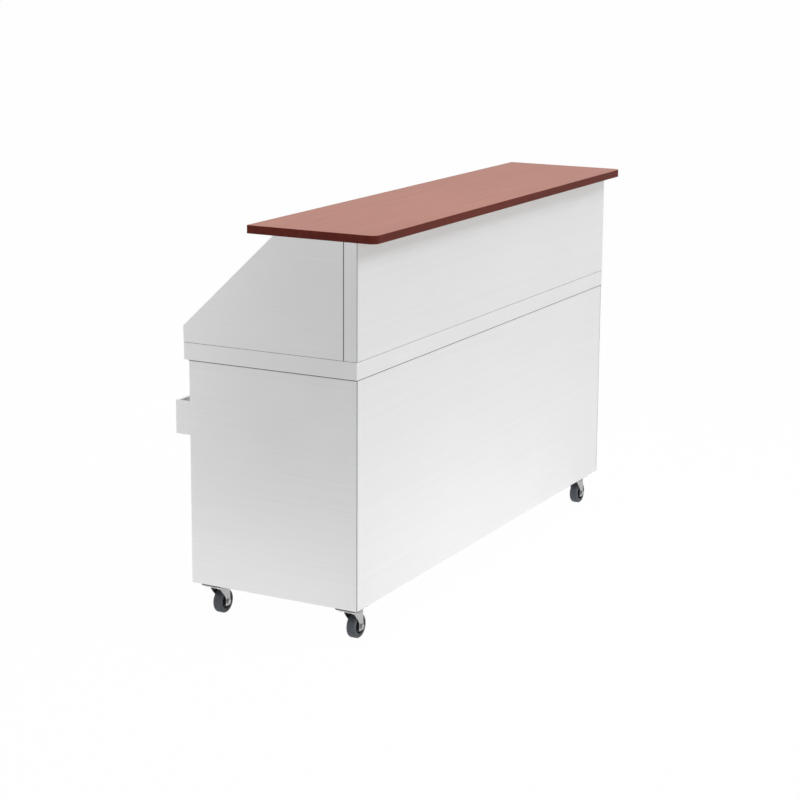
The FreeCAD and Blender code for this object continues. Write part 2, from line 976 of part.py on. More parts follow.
def speed_rail_back():
    outline = rectangle((rail_back, rail_face), (s.rail_low, s.rail_low + s.rail_back_high))
    radius = s.screw_radius + s.running
    holes = [rod(radius, (x, rail_back, z), s.sheet, "y") for x, z in rail_screw_places()]
    keep(carve(section("YZ", *rail_x, outline), *holes), "speed_rail_back")


def speed_rail_trough():
    lip = rail_front - s.rail_lip
    outline = [
        (rail_face, s.rail_low),
        (rail_front, s.rail_low),
        (rail_front, rail_top),
        (lip, rail_top),
        (lip, rail_top - s.rail_hem),
        (lip + s.sheet, rail_top - s.rail_hem),
        (lip + s.sheet, rail_top - s.sheet),
        (rail_front - s.sheet, rail_top - s.sheet),
        (rail_front - s.sheet, rail_floor),
        (rail_face, rail_floor),
    ]
    keep(section("YZ", *rail_x, outline), "speed_rail_trough")


def rail_screw_places():
    posts = [-end_post_x, -s.mid_post, s.mid_post, end_post_x]
    return [(x, z) for x in posts for z in rail_screw_heights()]


def speed_rail_end(name, side):
    x = mirrored_span(side, rail_end - s.sheet, rail_end)
    outline = rectangle((rail_back, rail_front), (s.rail_low, rail_top))
    keep(section("YZ", *x, outline), f"speed_rail_end_{name}")


def rail_screws():
    screws = []
    for x, z in rail_screw_places():
        head = rod(s.screw_head, (x, rail_face, z), s.screw_head_high, "y")
        shank = rod(s.screw_radius, (x, rail_face - s.rail_screw_length, z), s.rail_screw_length, "y")
        screws.append(join(head, shank))
    keep(group(screws), "rail_screws")


# Casters: a plate with its raceway and kingpin, a fork that trails, an axle, a core and a tread.

plate_low = s.caster_height - s.plate_thick
race_low = plate_low - s.raceway_high
fork_top = race_low - s.fit
fork_low = fork_top - s.fork_thick
head_top = fork_low - s.fit
leg_gap = s.wheel_wide / 2 + s.leg_play
leg_face = leg_gap + s.leg_thick


def caster_plate(name):
    x, y = caster_place(name)
    x_span = (x - s.plate_length / 2, x + s.plate_length / 2)
    y_span = (y - s.plate_wide / 2, y + s.plate_wide / 2)
    plate = box(x_span, y_span, (plate_low, s.caster_height))
    race = rod(s.raceway_radius, (x, y, race_low), s.raceway_high)
    pin_low = head_top - s.kingpin_head_high
    pin = rod(s.kingpin_radius, (x, y, pin_low), race_low - pin_low)
    head = rod(s.kingpin_head, (x, y, pin_low), s.kingpin_head_high)
    holes = bolt_holes([name], plate_low, s.caster_height)
    keep(carve(join(plate, race, pin, head), *holes), f"caster_plate_{name}")


def caster_fork(name):
    x, y = caster_place(name)
    body = new_body(x, y)
    race = s.raceway_radius
    heel = s.trail - s.leg_end
    toe = s.trail + s.leg_end
    low = s.wheel_radius - s.leg_end
    outline = [
        (-race + s.bend, fork_top),
        (race, fork_top),
        (toe, low),
        (heel, low),
        (heel, s.wheel_radius + s.leg_end),
        (-race + s.bend, fork_low - s.leg_thick),
    ]
    pad(body, "XZ", -leg_face, leg_face, outline)
    sweep_centre = (heel - s.fork_sweep, s.wheel_radius + s.leg_thick)
    pocket(body, "XZ", -leg_face, leg_face, circles=[(sweep_centre, s.fork_sweep)])
    slot = rectangle((-leg_gap, leg_gap), (low - s.leg_thick, fork_low))
    pocket(body, "YZ", -2 * race, 2 * race, slot)
    pad(body, "XY", fork_low, fork_top, circles=[((0, 0), race)])
    pin_hole = s.kingpin_radius + s.running
    pocket(body, "XY", fork_low, fork_top, circles=[((0, 0), pin_hole)])
    axle_hole = [((s.trail, s.wheel_radius), s.axle_radius + s.running)]
    pocket(body, "XZ", -leg_face, leg_face, circles=axle_hole)
    keep(body, f"caster_fork_{name}")


def caster_axle(name):
    x, y = caster_place(name)
    centre = (x + s.trail, y, s.wheel_radius)
    shank = rod(s.axle_radius, (centre[0], y - leg_face, centre[2]), 2 * leg_face, "y")
    reach = leg_face + s.axle_head_high
    head = bar_of_sides(6, s.axle_head, (centre[0], y - reach, centre[2]), s.axle_head_high, "y")
    nut = bar_of_sides(6, s.axle_head, (centre[0], y + leg_face, centre[2]), s.axle_head_high, "y")
    keep(join(shank, head, nut), f"caster_axle_{name}")


def on_axle(body, name):
    """Lays a turned body on the caster's axle, with its own Z along the bar's Y."""
    x, y = caster_place(name)
    return place(body, x + s.trail, y, s.wheel_radius, TURNS["y"])


def wheel_core(name):
    bore = s.axle_radius + s.running
    seat = s.wheel_radius - s.tread_thick
    rim = seat - s.rim_thick
    half_web = s.web_wide / 2
    half_rim = s.wheel_wide / 2 - s.leg_play
    half_hub = leg_gap - s.hub_play
    outline = [
        (bore, -half_hub),
        (s.hub_radius, -half_hub),
        (s.hub_radius, -half_web),
        (rim, -half_web),
        (rim, -half_rim),
        (seat, -half_rim),
        (seat, half_rim),
        (rim, half_rim),
        (rim, half_web),
        (s.hub_radius, half_web),
        (s.hub_radius, half_hub),
        (bore, half_hub),
    ]
    keep(on_axle(turned(outline), name), f"wheel_core_{name}")


def wheel_tread(name):
    seat = s.wheel_radius - s.tread_thick
    half = s.wheel_wide / 2
    body = turned(rectangle((seat, s.wheel_radius), (-half, half)))
    round_edges(body, s.tread_round, hoop_of(s.wheel_radius))
    keep(on_axle(body, name), f"wheel_tread_{name}")


def caster_bolts():
    bolts = []
    reach = base + s.sheet + s.base_thick
    for name in CASTERS:
        for x, y in bolt_places(name):
            head = bar_of_sides(6, s.bolt_head, (x, y, plate_low - s.bolt_head_high), s.bolt_head_high)
            shank = rod(s.bolt_radius, (x, y, plate_low), reach - plate_low)
            bolts.append(join(head, shank))
    keep(group(bolts), "caster_bolts")


lower_front_panel()
for name, side in SIDES.items():
    lower_end_panel(name, side)
    shelf_angle(name, side)
    die_end_panel(name, side)
    speed_rail_end(name, side)
base_deck()
base_channels()
caster_spacers()
rear_posts()
mid_shelf()
worktop()
die_front_panel()
die_back_panel()
bar_top()
bar_top_angle()
bar_top_channel()
bar_top_screws()
ice_bin_liner()
ice_bin_insulation()
ice_bin_jacket()
cover_runners()
bin_cover("left", -1, slot_low)
bin_cover("right", 1, slot_high)
drain_tailpiece()
drain_strainer()
valve_body()
valve_ball()
valve_lever()
speed_rail_back()
speed_rail_trough()
rail_screws()
for name in CASTERS:
    caster_plate(name)
    caster_fork(name)
    caster_axle(name)
    wheel_core(name)
    wheel_tread(name)
caster_bolts()

doc.recompute()
for item in doc.Objects:
    if "Invalid" in item.State or "Error" in item.State:
        raise RuntimeError(f"{item.Label} did not recompute: {item.State}")
for item in sub_parts:
    if item.Shape.isNull() or not item.Shape.isValid():
        raise RuntimeError(f"{item.Label} has no valid shape")

os.makedirs("parts", exist_ok=True)
for item in sub_parts:
    item.Shape.exportStep(os.path.join("parts", f"{item.Label}.step"))
    solids = len(item.Shape.Solids)
    print(f"{item.Label}: {solids} solid(s), {item.Shape.Volume / 1000:.1f} cm3")
print(f"{len(sub_parts)} sub-parts")
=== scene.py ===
# %% [markdown]
# # A mobile bar unit in satin stainless steel
#
# The bar is a sheet-metal cabinet on four casters: a lower box, a worktop whose edge hangs down as a
# band, a raised wall with slanted wings and a mahogany-coloured laminate top. The solids arrive from the
# CAD model at their real size, so this file adds what a solid can't hold: finishes, rounded edges, screw
# heads, weld beads, bearing balls, rubber and light. Every length is in metres, and +Z is up.

import math
import random

import bmesh
import bpy
from mathutils import Matrix, Vector


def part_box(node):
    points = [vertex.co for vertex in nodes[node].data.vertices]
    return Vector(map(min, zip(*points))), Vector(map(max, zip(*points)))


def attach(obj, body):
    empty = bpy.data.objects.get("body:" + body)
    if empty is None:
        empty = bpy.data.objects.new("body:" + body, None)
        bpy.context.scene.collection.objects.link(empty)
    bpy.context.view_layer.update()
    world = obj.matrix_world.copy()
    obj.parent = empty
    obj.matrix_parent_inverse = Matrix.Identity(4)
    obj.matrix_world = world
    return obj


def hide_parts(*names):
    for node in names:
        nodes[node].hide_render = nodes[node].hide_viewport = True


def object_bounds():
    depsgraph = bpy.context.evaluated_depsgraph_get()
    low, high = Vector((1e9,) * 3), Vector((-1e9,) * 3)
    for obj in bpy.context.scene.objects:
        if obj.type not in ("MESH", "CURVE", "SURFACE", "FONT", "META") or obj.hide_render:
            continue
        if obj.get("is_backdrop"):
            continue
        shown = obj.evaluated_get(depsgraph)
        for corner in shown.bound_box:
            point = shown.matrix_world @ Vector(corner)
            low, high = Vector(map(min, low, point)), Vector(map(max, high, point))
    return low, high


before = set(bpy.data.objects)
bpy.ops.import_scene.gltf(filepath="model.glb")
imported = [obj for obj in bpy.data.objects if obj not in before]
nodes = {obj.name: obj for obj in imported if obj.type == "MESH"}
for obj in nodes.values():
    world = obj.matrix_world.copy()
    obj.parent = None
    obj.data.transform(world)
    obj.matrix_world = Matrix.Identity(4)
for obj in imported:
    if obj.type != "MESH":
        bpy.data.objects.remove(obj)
cad_low, cad_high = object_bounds()
print(f"{len(nodes)} CAD nodes, {', '.join(f'{side:.3f} m' for side in cad_high - cad_low)}")

# %% [markdown]
# ## Camera
#
# A product photograph of a long object is taken from far away with a long lens, so that its upright
# edges stay almost parallel. The place, the angles and the focal length below come from solving the
# camera on the cabinet's measured corners. The picture's centre line lies a little above its middle,
# which is a vertical lens shift, and the camera is rolled by a third of a degree.

# %% Camera at the photograph's viewing angle
CAMERA_PLACE = Vector((-5.9727, -3.1358, 2.1393))
CAMERA_YAW = math.radians(61.916)
CAMERA_PITCH = math.radians(11.677)
CAMERA_ROLL = math.radians(0.329)
LENS_MM = 92.43
LENS_SHIFT = -0.075


def in_scene(name, data):
    """An object with this mesh, camera or light, linked to the scene."""
    item = bpy.data.objects.new(name, data)
    bpy.context.scene.collection.objects.link(item)
    return item


def camera_axes():
    """The camera's right, up and forward directions."""
    ahead = Vector((
        math.sin(CAMERA_YAW) * math.cos(CAMERA_PITCH),
        math.cos(CAMERA_YAW) * math.cos(CAMERA_PITCH),
        -math.sin(CAMERA_PITCH),
    ))
    level = Vector((math.cos(CAMERA_YAW), -math.sin(CAMERA_YAW), 0))
    upright = level.cross(ahead)
    across = level * math.cos(CAMERA_ROLL) + upright * math.sin(CAMERA_ROLL)
    up = upright * math.cos(CAMERA_ROLL) - level * math.sin(CAMERA_ROLL)
    return across, up, ahead


across, up, ahead = camera_axes()
lens = bpy.data.cameras.new("studio_lens")
lens.lens = LENS_MM
lens.shift_y = LENS_SHIFT
camera = in_scene("studio_camera", lens)
camera.matrix_world = Matrix((across, up, -ahead)).transposed().to_4x4()
camera.location = CAMERA_PLACE
bpy.context.scene.camera = camera
bpy.context.scene.view_settings.view_transform = "Standard"
print(f"camera {CAMERA_PLACE.length:.2f} m from the origin")

# %% [markdown]
# ## Shader maths
#
# A finish is a small calculation: noise times a strength, plus a base, held between two limits. Wiring
# that by hand takes many Math nodes, so a `Signal` wraps a socket and lets Python's own operators add
# them. A `Finish` is one material, and its `node` method makes every other node: the settings come
# first, because some of them change which sockets the node has, and the sockets' values or links second.

# %% A socket that takes part in arithmetic
class Signal:
    """The output of a shader node. Arithmetic on it adds Math nodes."""

    def __init__(self, finish, socket):
        self.finish = finish
        self.socket = socket

    def maths(self, operation, *values):
        return self.finish.node("ShaderNodeMath", {"operation": operation}, dict(enumerate(values)))

    def __add__(self, other):
        return self.maths("ADD", self, other)

    def __sub__(self, other):
        return self.maths("SUBTRACT", self, other)

    def __rsub__(self, other):
        return self.maths("SUBTRACT", other, self)

    def __mul__(self, other):
        return self.maths("MULTIPLY", self, other)

    __radd__ = __add__
    __rmul__ = __mul__

    def size(self):
        return self.maths("ABSOLUTE", self)

    def rise(self, start, end):
        """0 before start, 1 after end, and smooth between them."""
        values = {"Value": self, "From Min": start, "From Max": end}
        return self.finish.node("ShaderNodeMapRange", {"interpolation_type": "SMOOTHSTEP"}, values)


# %% A material that makes nodes
class Finish:
    """One material with a Principled surface."""

    def __init__(self, name, fixed):
        self.material = bpy.data.materials.new(name)
        self.material.use_nodes = True
        self.tree = self.material.node_tree
        self.surface = self.tree.nodes["Principled BSDF"]
        self.set(fixed)

    def node(self, kind, settings, values, output=0):
        made = self.tree.nodes.new(kind)
        for key, setting in settings.items():
            if key == "stops":
                self.set_stops(made.color_ramp, setting)
            else:
                setattr(made, key, setting)
        for key, value in values.items():
            self.feed(made.inputs[key], value)
        return Signal(self, made.outputs[output])

    def set_stops(self, ramp, stops):
        while len(ramp.elements) < len(stops):
            ramp.elements.new(1.0)
        for element, (place, colour) in zip(ramp.elements, stops):
            element.position = place
            element.color = (*colour, 1.0)

    def feed(self, socket, value):
        if isinstance(value, Signal):
            self.tree.links.new(value.socket, socket)
        elif socket.type == "RGBA":
            socket.default_value = (*value, 1.0)
        else:
            socket.default_value = value

    def set(self, values):
        for name, value in values.items():
            self.feed(self.surface.inputs[name], value)

    def place(self):
        """Where a point of the surface is, in metres, in the object's own frame."""
        return self.node("ShaderNodeTexCoord", {}, {}, "Object")

    def parts(self, vector):
        split = self.node("ShaderNodeSeparateXYZ", {}, {"Vector": vector}).socket.node
        return [Signal(self, socket) for socket in split.outputs]

    def vector_maths(self, operation, first, second):
        return self.node("ShaderNodeVectorMath", {"operation": operation}, {0: first, 1: second})

    def noise(self, vector, scale, detail=2.0, roughness=0.5):
        values = {"Vector": vector, "Scale": scale, "Detail": detail, "Roughness": roughness}
        return self.node("ShaderNodeTexNoise", {}, values)

    def streaks(self, vector, scales, detail=2.0, roughness=0.5):
        """Noise with a scale of its own along each axis."""
        return self.noise(self.vector_maths("MULTIPLY", vector, scales), 1.0, detail, roughness)

    def grey(self, light):
        return self.node("ShaderNodeCombineColor", {}, {0: light, 1: light, 2: light})

    def mix(self, share, first, second, blend="MIX"):
        """A colour between two colours. The colour sockets of a Mix node are numbers 6, 7 and 2."""
        settings = {"data_type": "RGBA", "blend_type": blend}
        return self.node("ShaderNodeMix", settings, {0: share, 6: first, 7: second}, 2)

    def bump(self, height, depth):
        """Relief: height is from 0 to 1, and depth is its full size in metres."""
        normal = self.node("ShaderNodeBump", {}, {"Height": height, "Distance": depth})
        self.set({"Normal": normal})


def shade(colour, factor):
    return tuple(channel * factor for channel in colour)


print("Signal and Finish are ready")

# %% [markdown]
# ## Satin stainless steel
#
# Sheet for kitchens is ground with a belt: the surface is full of fine scratches that all run along the
# sheet. A mirror would show the studio as a picture, but the scratches spread each reflection into a
# soft glow, so the metal looks nearly white and only its gradients show its shape. The scratches are
# noise that is stretched along the grain. They change the roughness and the relief, and the colour only
# slightly. A second, cloudy noise is the faint unevenness that wiping and handling leave.

# %% Steel sheet, with its grain along one axis
STEEL = (0.905, 0.905, 0.91)
wall_low, wall_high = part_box("die_front_panel")
FOLD_CORNER = (wall_high.x - 0.0019, -wall_low.y - 0.0016)
FOLD_SOFT = 0.0004
FINE_GRAIN = (9.0, 1900.0)
BROAD_GRAIN = (1.1, 130.0)
BRUSH_DEPTH = 0.000012
SATIN_METAL = 0.65


def along(axis, near, far):
    """A scale for each axis: near along the grain and far across it."""
    return tuple(near if name == axis else far for name in "xyz")


def bend_shade_mask(metal, place):
    """Painted shade: 1 on the upright bends at the bar's front corners, and 0 on the flat sheet."""
    x, y, _ = metal.parts(place)
    aside = x.size().rise(FOLD_CORNER[0] - FOLD_SOFT, FOLD_CORNER[0])
    ahead = (0 - y).rise(FOLD_CORNER[1] - FOLD_SOFT, FOLD_CORNER[1])
    return aside * ahead


def steel(name, axis, tone=1.0, rough=0.6, paint_bend_shade=False):
    metal = Finish(name, {"Metallic": SATIN_METAL})
    place = metal.place()
    fine = metal.streaks(place, along(axis, *FINE_GRAIN))
    broad = metal.streaks(place, along(axis, *BROAD_GRAIN))
    cloud = metal.noise(place, 5.0, 4.0, 0.6)
    wiped = cloud.rise(0.42, 0.7)
    light = 0.97 + 0.06 * (fine - 0.5) + 0.05 * (broad - 0.5) + 0.03 * (cloud - 0.5)
    # Painted shade: a dark line is painted on the bends at the raised wall's front corners.
    if paint_bend_shade:
        light = light - 0.6 * bend_shade_mask(metal, place)
    metal.set({
        "Base Color": metal.mix(1.0, shade(STEEL, tone), metal.grey(light), "MULTIPLY"),
        "Roughness": rough + 0.10 * (fine - 0.5) + 0.05 * wiped,
    })
    metal.bump(fine, BRUSH_DEPTH)
    return metal.material


steel_x = steel("satin_steel_along_x", "x")
bend_shaded_steel = steel("bend_shaded_steel_along_x", "x", paint_bend_shade=True)
steel_y = steel("satin_steel_along_y", "y")
steel_z = steel("satin_steel_along_z", "z")
inner_x = steel("inner_steel_along_x", "x", 0.90)
inner_z = steel("inner_steel_along_z", "z", 0.90)
print("steel sheet:", steel_x.name, steel_y.name, steel_z.name, inner_x.name, inner_z.name)

# %% [markdown]
# ## Laminate and edge band
#
# The bar top is chipboard with a sheet of laminate on it: printed paper under clear melamine, with a
# fine satin texture pressed in. The print is an even mahogany with a faint grain along the bar. The
# edge band is a thinner, darker plastic strip of the same family. Both are plain dielectrics, so at the
# camera's low angle the top mirrors the pale studio and looks much lighter than the edge.

# %% Mahogany laminate, and the darker band round its edge
LAMINATE = (0.37, 0.125, 0.078)
LAMINATE_DARK = (0.32, 0.102, 0.062)
EDGE = (0.155, 0.03, 0.02)
EDGE_DARK = (0.125, 0.023, 0.016)


def laminate(name, pale, dark, rough, depth, gloss):
    board = Finish(name, {"Specular IOR Level": gloss})
    place = board.place()
    drift = board.noise(place, 3.0, 3.0)
    grain = board.streaks(place, along("x", 2.2, 60.0), 4.0, 0.6)
    pores = board.streaks(place, along("x", 35.0, 1100.0))
    satin = board.noise(place, 2200.0)
    share = (0.75 * grain + 0.35 * drift).rise(0.38, 0.72)
    board.set({
        "Base Color": board.mix(share - 0.25 * pores.rise(0.6, 0.75), dark, pale),
        "Roughness": rough + 0.08 * (satin - 0.5) + 0.05 * drift,
    })
    board.bump(0.7 * satin + 0.3 * (1 - pores), depth)
    return board.material


top_laminate = laminate("mahogany_laminate", LAMINATE, LAMINATE_DARK, 0.42, 0.00003, 0.27)
edge_band = laminate("mahogany_edge_band", EDGE, EDGE_DARK, 0.5, 0.00002, 0.08)
print("laminate:", top_laminate.name, edge_band.name)

# %% [markdown]
# ## Chipboard
#
# Under the overhang the chipboard's sanded face shows: wood flakes of many sizes pressed with glue.
# Cells of a Voronoi texture, squeezed to slivers, stand for the flakes, each with a tone of its own, and
# a second, finer layer stands for the dust between them.

# %% Sanded chipboard
FLAKE_TONES = [(0.0, (0.30, 0.19, 0.10)), (0.45, (0.47, 0.33, 0.19)), (1.0, (0.62, 0.47, 0.30))]


def chipboard():
    board = Finish("sanded_chipboard", {})
    place = board.place()
    squeezed = board.vector_maths("MULTIPLY", place, (1.0, 2.6, 1.0))
    flakes = board.node("ShaderNodeTexVoronoi", {}, {"Vector": squeezed, "Scale": 210.0}, "Color")
    tone = board.parts(flakes)[0]
    dust = board.noise(place, 1500.0)
    share = 0.7 * tone + 0.3 * dust
    board.set({
        "Base Color": board.node("ShaderNodeValToRGB", {"stops": FLAKE_TONES}, {0: share}),
        "Roughness": 0.75 + 0.15 * (dust - 0.5),
    })
    board.bump(share, 0.00012)
    return board.material


chip = chipboard()
print("chipboard:", chip.name)

# %% [markdown]
# ## Galvanised steel
#
# Angles and channels that nobody sees are galvanised: hot zinc freezes in flat crystals, the spangle,
# some bright and some dull. Voronoi cells are exactly that pattern, each cell with its own brightness
# and roughness, and a soft noise bends their borders.

# %% Galvanised steel with its spangle
ZINC_GREY = (0.60, 0.61, 0.62)


def galvanised():
    metal = Finish("galvanised_steel", {"Metallic": 1.0})
    place = metal.place()
    wander = metal.node("ShaderNodeTexNoise", {}, {"Vector": place, "Scale": 60.0}, "Color")
    bent = metal.vector_maths("ADD", place, metal.vector_maths("MULTIPLY", wander, (0.012, 0.012, 0.012)))
    cells = metal.node("ShaderNodeTexVoronoi", {}, {"Vector": bent, "Scale": 85.0}, "Color")
    crystal = metal.parts(cells)[0]
    light = 0.82 + 0.3 * crystal
    metal.set({
        "Base Color": metal.mix(1.0, ZINC_GREY, metal.grey(light), "MULTIPLY"),
        "Roughness": 0.55 - 0.22 * crystal,
    })
    metal.bump(crystal, 0.00002)
    return metal.material


galvanised_steel = galvanised()
print("galvanised:", galvanised_steel.name)

# %% [markdown]
# ## Plated and polished small parts
#
# Casters, screws and the drain valve are small, bright and handled: zinc or nickel plate over pressed
# or turned steel. The plate itself is even, so what shows is a fine satin from the tumbling barrel,
# a slight change of tone over a few centimetres, and dull spots where fingers and tools touched it.

# %% Plated metal
def plated(name, colour, rough, spots=0.5):
    metal = Finish(name, {"Metallic": 1.0})
    place = metal.place()
    drift = metal.noise(place, 35.0, 3.0)
    barrel = metal.noise(place, 1800.0)
    dull = metal.noise(place, 160.0, 4.0, 0.65).rise(0.55, 0.72)
    metal.set({
        "Base Color": metal.mix(0.5 * drift + 0.35 * spots * dull, colour, shade(colour, 0.72)),
        "Roughness": rough + 0.14 * (drift - 0.5) + 0.12 * spots * dull,
    })
    metal.bump(barrel, 0.00001)
    return metal.material


# The casters' zinc is darker than the screws' zinc: partly the plate's colour, partly painted shade for their place
# under the cabinet.
caster_zinc_and_shade = plated("zinc_plate_and_painted_shade", (0.47, 0.47, 0.475), 0.32)
screw_zinc = plated("screw_zinc_plate", (0.70, 0.70, 0.71), 0.26)
valve_metal = plated("polished_valve_metal", (0.74, 0.73, 0.71), 0.20, 0.3)
bin_metal = plated("drawn_bin_steel", (0.78, 0.78, 0.79), 0.24, 0.25)
print("plated:", caster_zinc_and_shade.name, screw_zinc.name, valve_metal.name, bin_metal.name)

# %% [markdown]
# ## Anodised runners
#
# The runners are extruded aluminium. The die drags fine lines along the whole length, and the
# anodising turns them into a soft grey satin.

# %% Extruded aluminium
def extruded():
    metal = Finish("anodised_aluminium", {"Metallic": 1.0})
    place = metal.place()
    lines = metal.streaks(place, along("x", 1.5, 1600.0))
    light = 0.68 + 0.06 * (lines - 0.5)
    metal.set({
        "Base Color": metal.node("ShaderNodeCombineColor", {}, {0: light, 1: light, 2: 1.01 * light}),
        "Roughness": 0.42 + 0.12 * (lines - 0.5),
    })
    metal.bump(lines, 0.00001)
    return metal.material


runner_metal = extruded()
print("runners:", runner_metal.name)

# %% [markdown]
# ## Rubber, moulded plastic and foam
#
# The treads are grey non-marking rubber: matt, a little paler where the floor has scuffed them. Wheel
# cores and spacers are moulded plastic with a faint spark-eroded texture. The foam round the ice bin is
# sealed inside its jacket, but it gets its own cellular finish all the same.

# %% Moulded finishes
def moulded(name, colour, worn, rough, grain_scale, depth):
    stuff = Finish(name, {"Specular IOR Level": 0.45})
    place = stuff.place()
    grain = stuff.noise(place, grain_scale, 2.0)
    scuff = stuff.noise(place, 90.0, 5.0, 0.7).rise(0.48, 0.75)
    stuff.set({
        "Base Color": stuff.mix(0.6 * scuff + 0.15 * grain, colour, worn),
        "Roughness": rough + 0.12 * (grain - 0.5) + 0.1 * scuff,
    })
    stuff.bump(grain, depth)
    return stuff.material


tread_rubber = moulded("grey_rubber", (0.095, 0.106, 0.124), (0.13, 0.143, 0.16), 0.55, 900.0, 0.00004)
core_plastic = moulded("wheel_plastic", (0.035, 0.038, 0.042), (0.06, 0.064, 0.07), 0.45, 1400.0, 0.00003)
spacer_plastic = moulded("spacer_plastic", (0.03, 0.03, 0.032), (0.05, 0.05, 0.052), 0.5, 1100.0, 0.00004)
pale_foam = moulded("pale_foam", (0.80, 0.74, 0.55), (0.70, 0.62, 0.42), 0.85, 420.0, 0.0003)
print("moulded:", tread_rubber.name, core_plastic.name, spacer_plastic.name, pale_foam.name)

# %% [markdown]
# ## Rounded edges on the CAD nodes
#
# No real edge is perfectly sharp: a folded or sheared sheet has a radius of some tenths of a
# millimetre, and that hairline catches the light. The CAD meshes come as separate faces with their
# points doubled along every edge, which a Bevel modifier can't round. So a small geometry-nodes group
# first merges the doubled points and turns smooth shading on, Decimate joins flat triangles into whole
# faces, Bevel rounds what is left and Weighted Normal keeps the flat faces flat. The modifiers
# leave the CAD mesh itself as it is.

# %% Modifiers that weld, clean and round a CAD node
MERGE_DISTANCE = 0.00001
FLAT_ANGLE = math.radians(0.3)
EDGE_ANGLE = math.radians(28)


def welding_group():
    group = bpy.data.node_groups.new("weld_and_smooth", "GeometryNodeTree")
    group.interface.new_socket("Geometry", in_out="INPUT", socket_type="NodeSocketGeometry")
    group.interface.new_socket("Geometry", in_out="OUTPUT", socket_type="NodeSocketGeometry")
    start = group.nodes.new("NodeGroupInput")
    merge = group.nodes.new("GeometryNodeMergeByDistance")
    merge.inputs["Distance"].default_value = MERGE_DISTANCE
    smooth = group.nodes.new("GeometryNodeSetShadeSmooth")
    end = group.nodes.new("NodeGroupOutput")
    group.links.new(start.outputs[0], merge.inputs["Geometry"])
    group.links.new(merge.outputs["Geometry"], smooth.inputs["Geometry"])
    group.links.new(smooth.outputs["Geometry"], end.inputs[0])
    return group


welding = welding_group()


def round_edges(item, width, segments=2):
    weld = item.modifiers.new("weld", "NODES")
    weld.node_group = welding
    clean = item.modifiers.new("clean", "DECIMATE")
    clean.decimate_type = "DISSOLVE"
    clean.angle_limit = FLAT_ANGLE
    bevel = item.modifiers.new("bevel", "BEVEL")
    bevel.limit_method = "ANGLE"
    bevel.angle_limit = EDGE_ANGLE
    bevel.width = width
    bevel.segments = segments
    normals = item.modifiers.new("normals", "WEIGHTED_NORMAL")
    normals.keep_sharp = False


def finish_node(name, material, width):
    item = nodes[name]
    for slot in item.material_slots:
        slot.material = material
    if width:
        round_edges(item, width)


# %% Every CAD node gets its finish and its edge radius
SHEET_EDGE = 0.0004
CASTERS = ("front_left", "front_right", "rear_left", "rear_right")
DRESS = {
    steel_x: {SHEET_EDGE: (
        "lower_front_panel", "die_back_panel", "speed_rail_back", "speed_rail_trough",
        "bin_cover_left", "bin_cover_right",
    ), 0.0005: ("worktop",)},
    bend_shaded_steel: {SHEET_EDGE: ("die_front_panel",)},
    steel_y: {SHEET_EDGE: (
        "lower_end_panel_left", "lower_end_panel_right", "die_end_panel_left", "die_end_panel_right",
        "speed_rail_end_left", "speed_rail_end_right",
    )},
    inner_x: {SHEET_EDGE: ("base_deck", "mid_shelf", "ice_bin_jacket")},
    inner_z: {SHEET_EDGE: ("rear_post_left", "rear_post_right", "middle_posts")},
    galvanised_steel: {0.0006: (
        "base_channels", "shelf_angle_left", "shelf_angle_right", "bar_top_angle", "bar_top_channel",
    )},
    bin_metal: {SHEET_EDGE: ("ice_bin_liner",)},
    spacer_plastic: {0.001: ("caster_spacers",)},
    chip: {0.0003: ("bar_top_core",)},
    edge_band: {0.0003: ("bar_top_edge_band",)},
    top_laminate: {0.0004: ("bar_top_laminate",)},
    pale_foam: {0.0: ("ice_bin_insulation",)},
    runner_metal: {0.0003: ("cover_runners",)},
    valve_metal: {
        0.0005: ("drain_tailpiece", "drain_strainer", "valve_body", "valve_lever"), 0.0002: ("valve_ball",),
    },
    screw_zinc: {0.0004: ("bar_top_screws", "rail_screws", "caster_bolts")},
    caster_zinc_and_shade: {0.0005: tuple(f"caster_{part}_{name}" for part in ("plate", "fork", "axle") for name in CASTERS)},
    core_plastic: {0.0006: tuple(f"wheel_core_{name}" for name in CASTERS)},
    tread_rubber: {0.0006: tuple(f"wheel_tread_{name}" for name in CASTERS)},
}

for material, by_width in DRESS.items():
    for width, names in by_width.items():
        for name in names:
            finish_node(name, material, width)
bare = set(nodes) - {name for by_width in DRESS.values() for names in by_width.values() for name in names}
print("nodes without a finish:", sorted(bare))

# %% [markdown]
# ## Pieces made in mesh code
#
# What the solids leave out is built here with bmesh, always from the CAD nodes' own boxes, so a change
# of size in the model moves the detail with it. Every piece says which body it rides on, so that a
# lower race follows its fork and a sleeve follows its lever, and which material it has.

# %% From a bmesh to a piece
MM = 0.001


def mesh_of(shape, name="part"):
    bmesh.ops.recalc_face_normals(shape, faces=shape.faces)
    mesh = bpy.data.meshes.new(name)
    shape.to_mesh(mesh)
    shape.free()
    return mesh


def add_piece(name, shape, body, material, smooth_angle=35):
    """Turns a bmesh into a piece that rides on a CAD body."""
    mesh = mesh_of(shape, name)
    mesh.materials.append(material)
    mesh.polygons.foreach_set("use_smooth", [True] * len(mesh.polygons))
    mesh.set_sharp_from_angle(angle=math.radians(smooth_angle))
    item = in_scene(name, mesh)
    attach(item, body)
    return item


def middle(node):
    low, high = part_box(node)
    return (low + high) / 2


print(f"the deck's middle is {middle('base_deck').z:.3f} m above the floor")

# %% Points and skins
X, Y, Z = Matrix.Identity(3)
RING_STEPS = 48


def arc(x, y, radius, start, sweep, steps, radius_y=None):
    """Points on an arc round (x, y). Its start and sweep are in degrees."""
    points = []
    for step in range(steps + 1):
        angle = math.radians(start + sweep * step / steps)
        points.append((x + radius * math.cos(angle), y + (radius_y or radius) * math.sin(angle)))
    return points


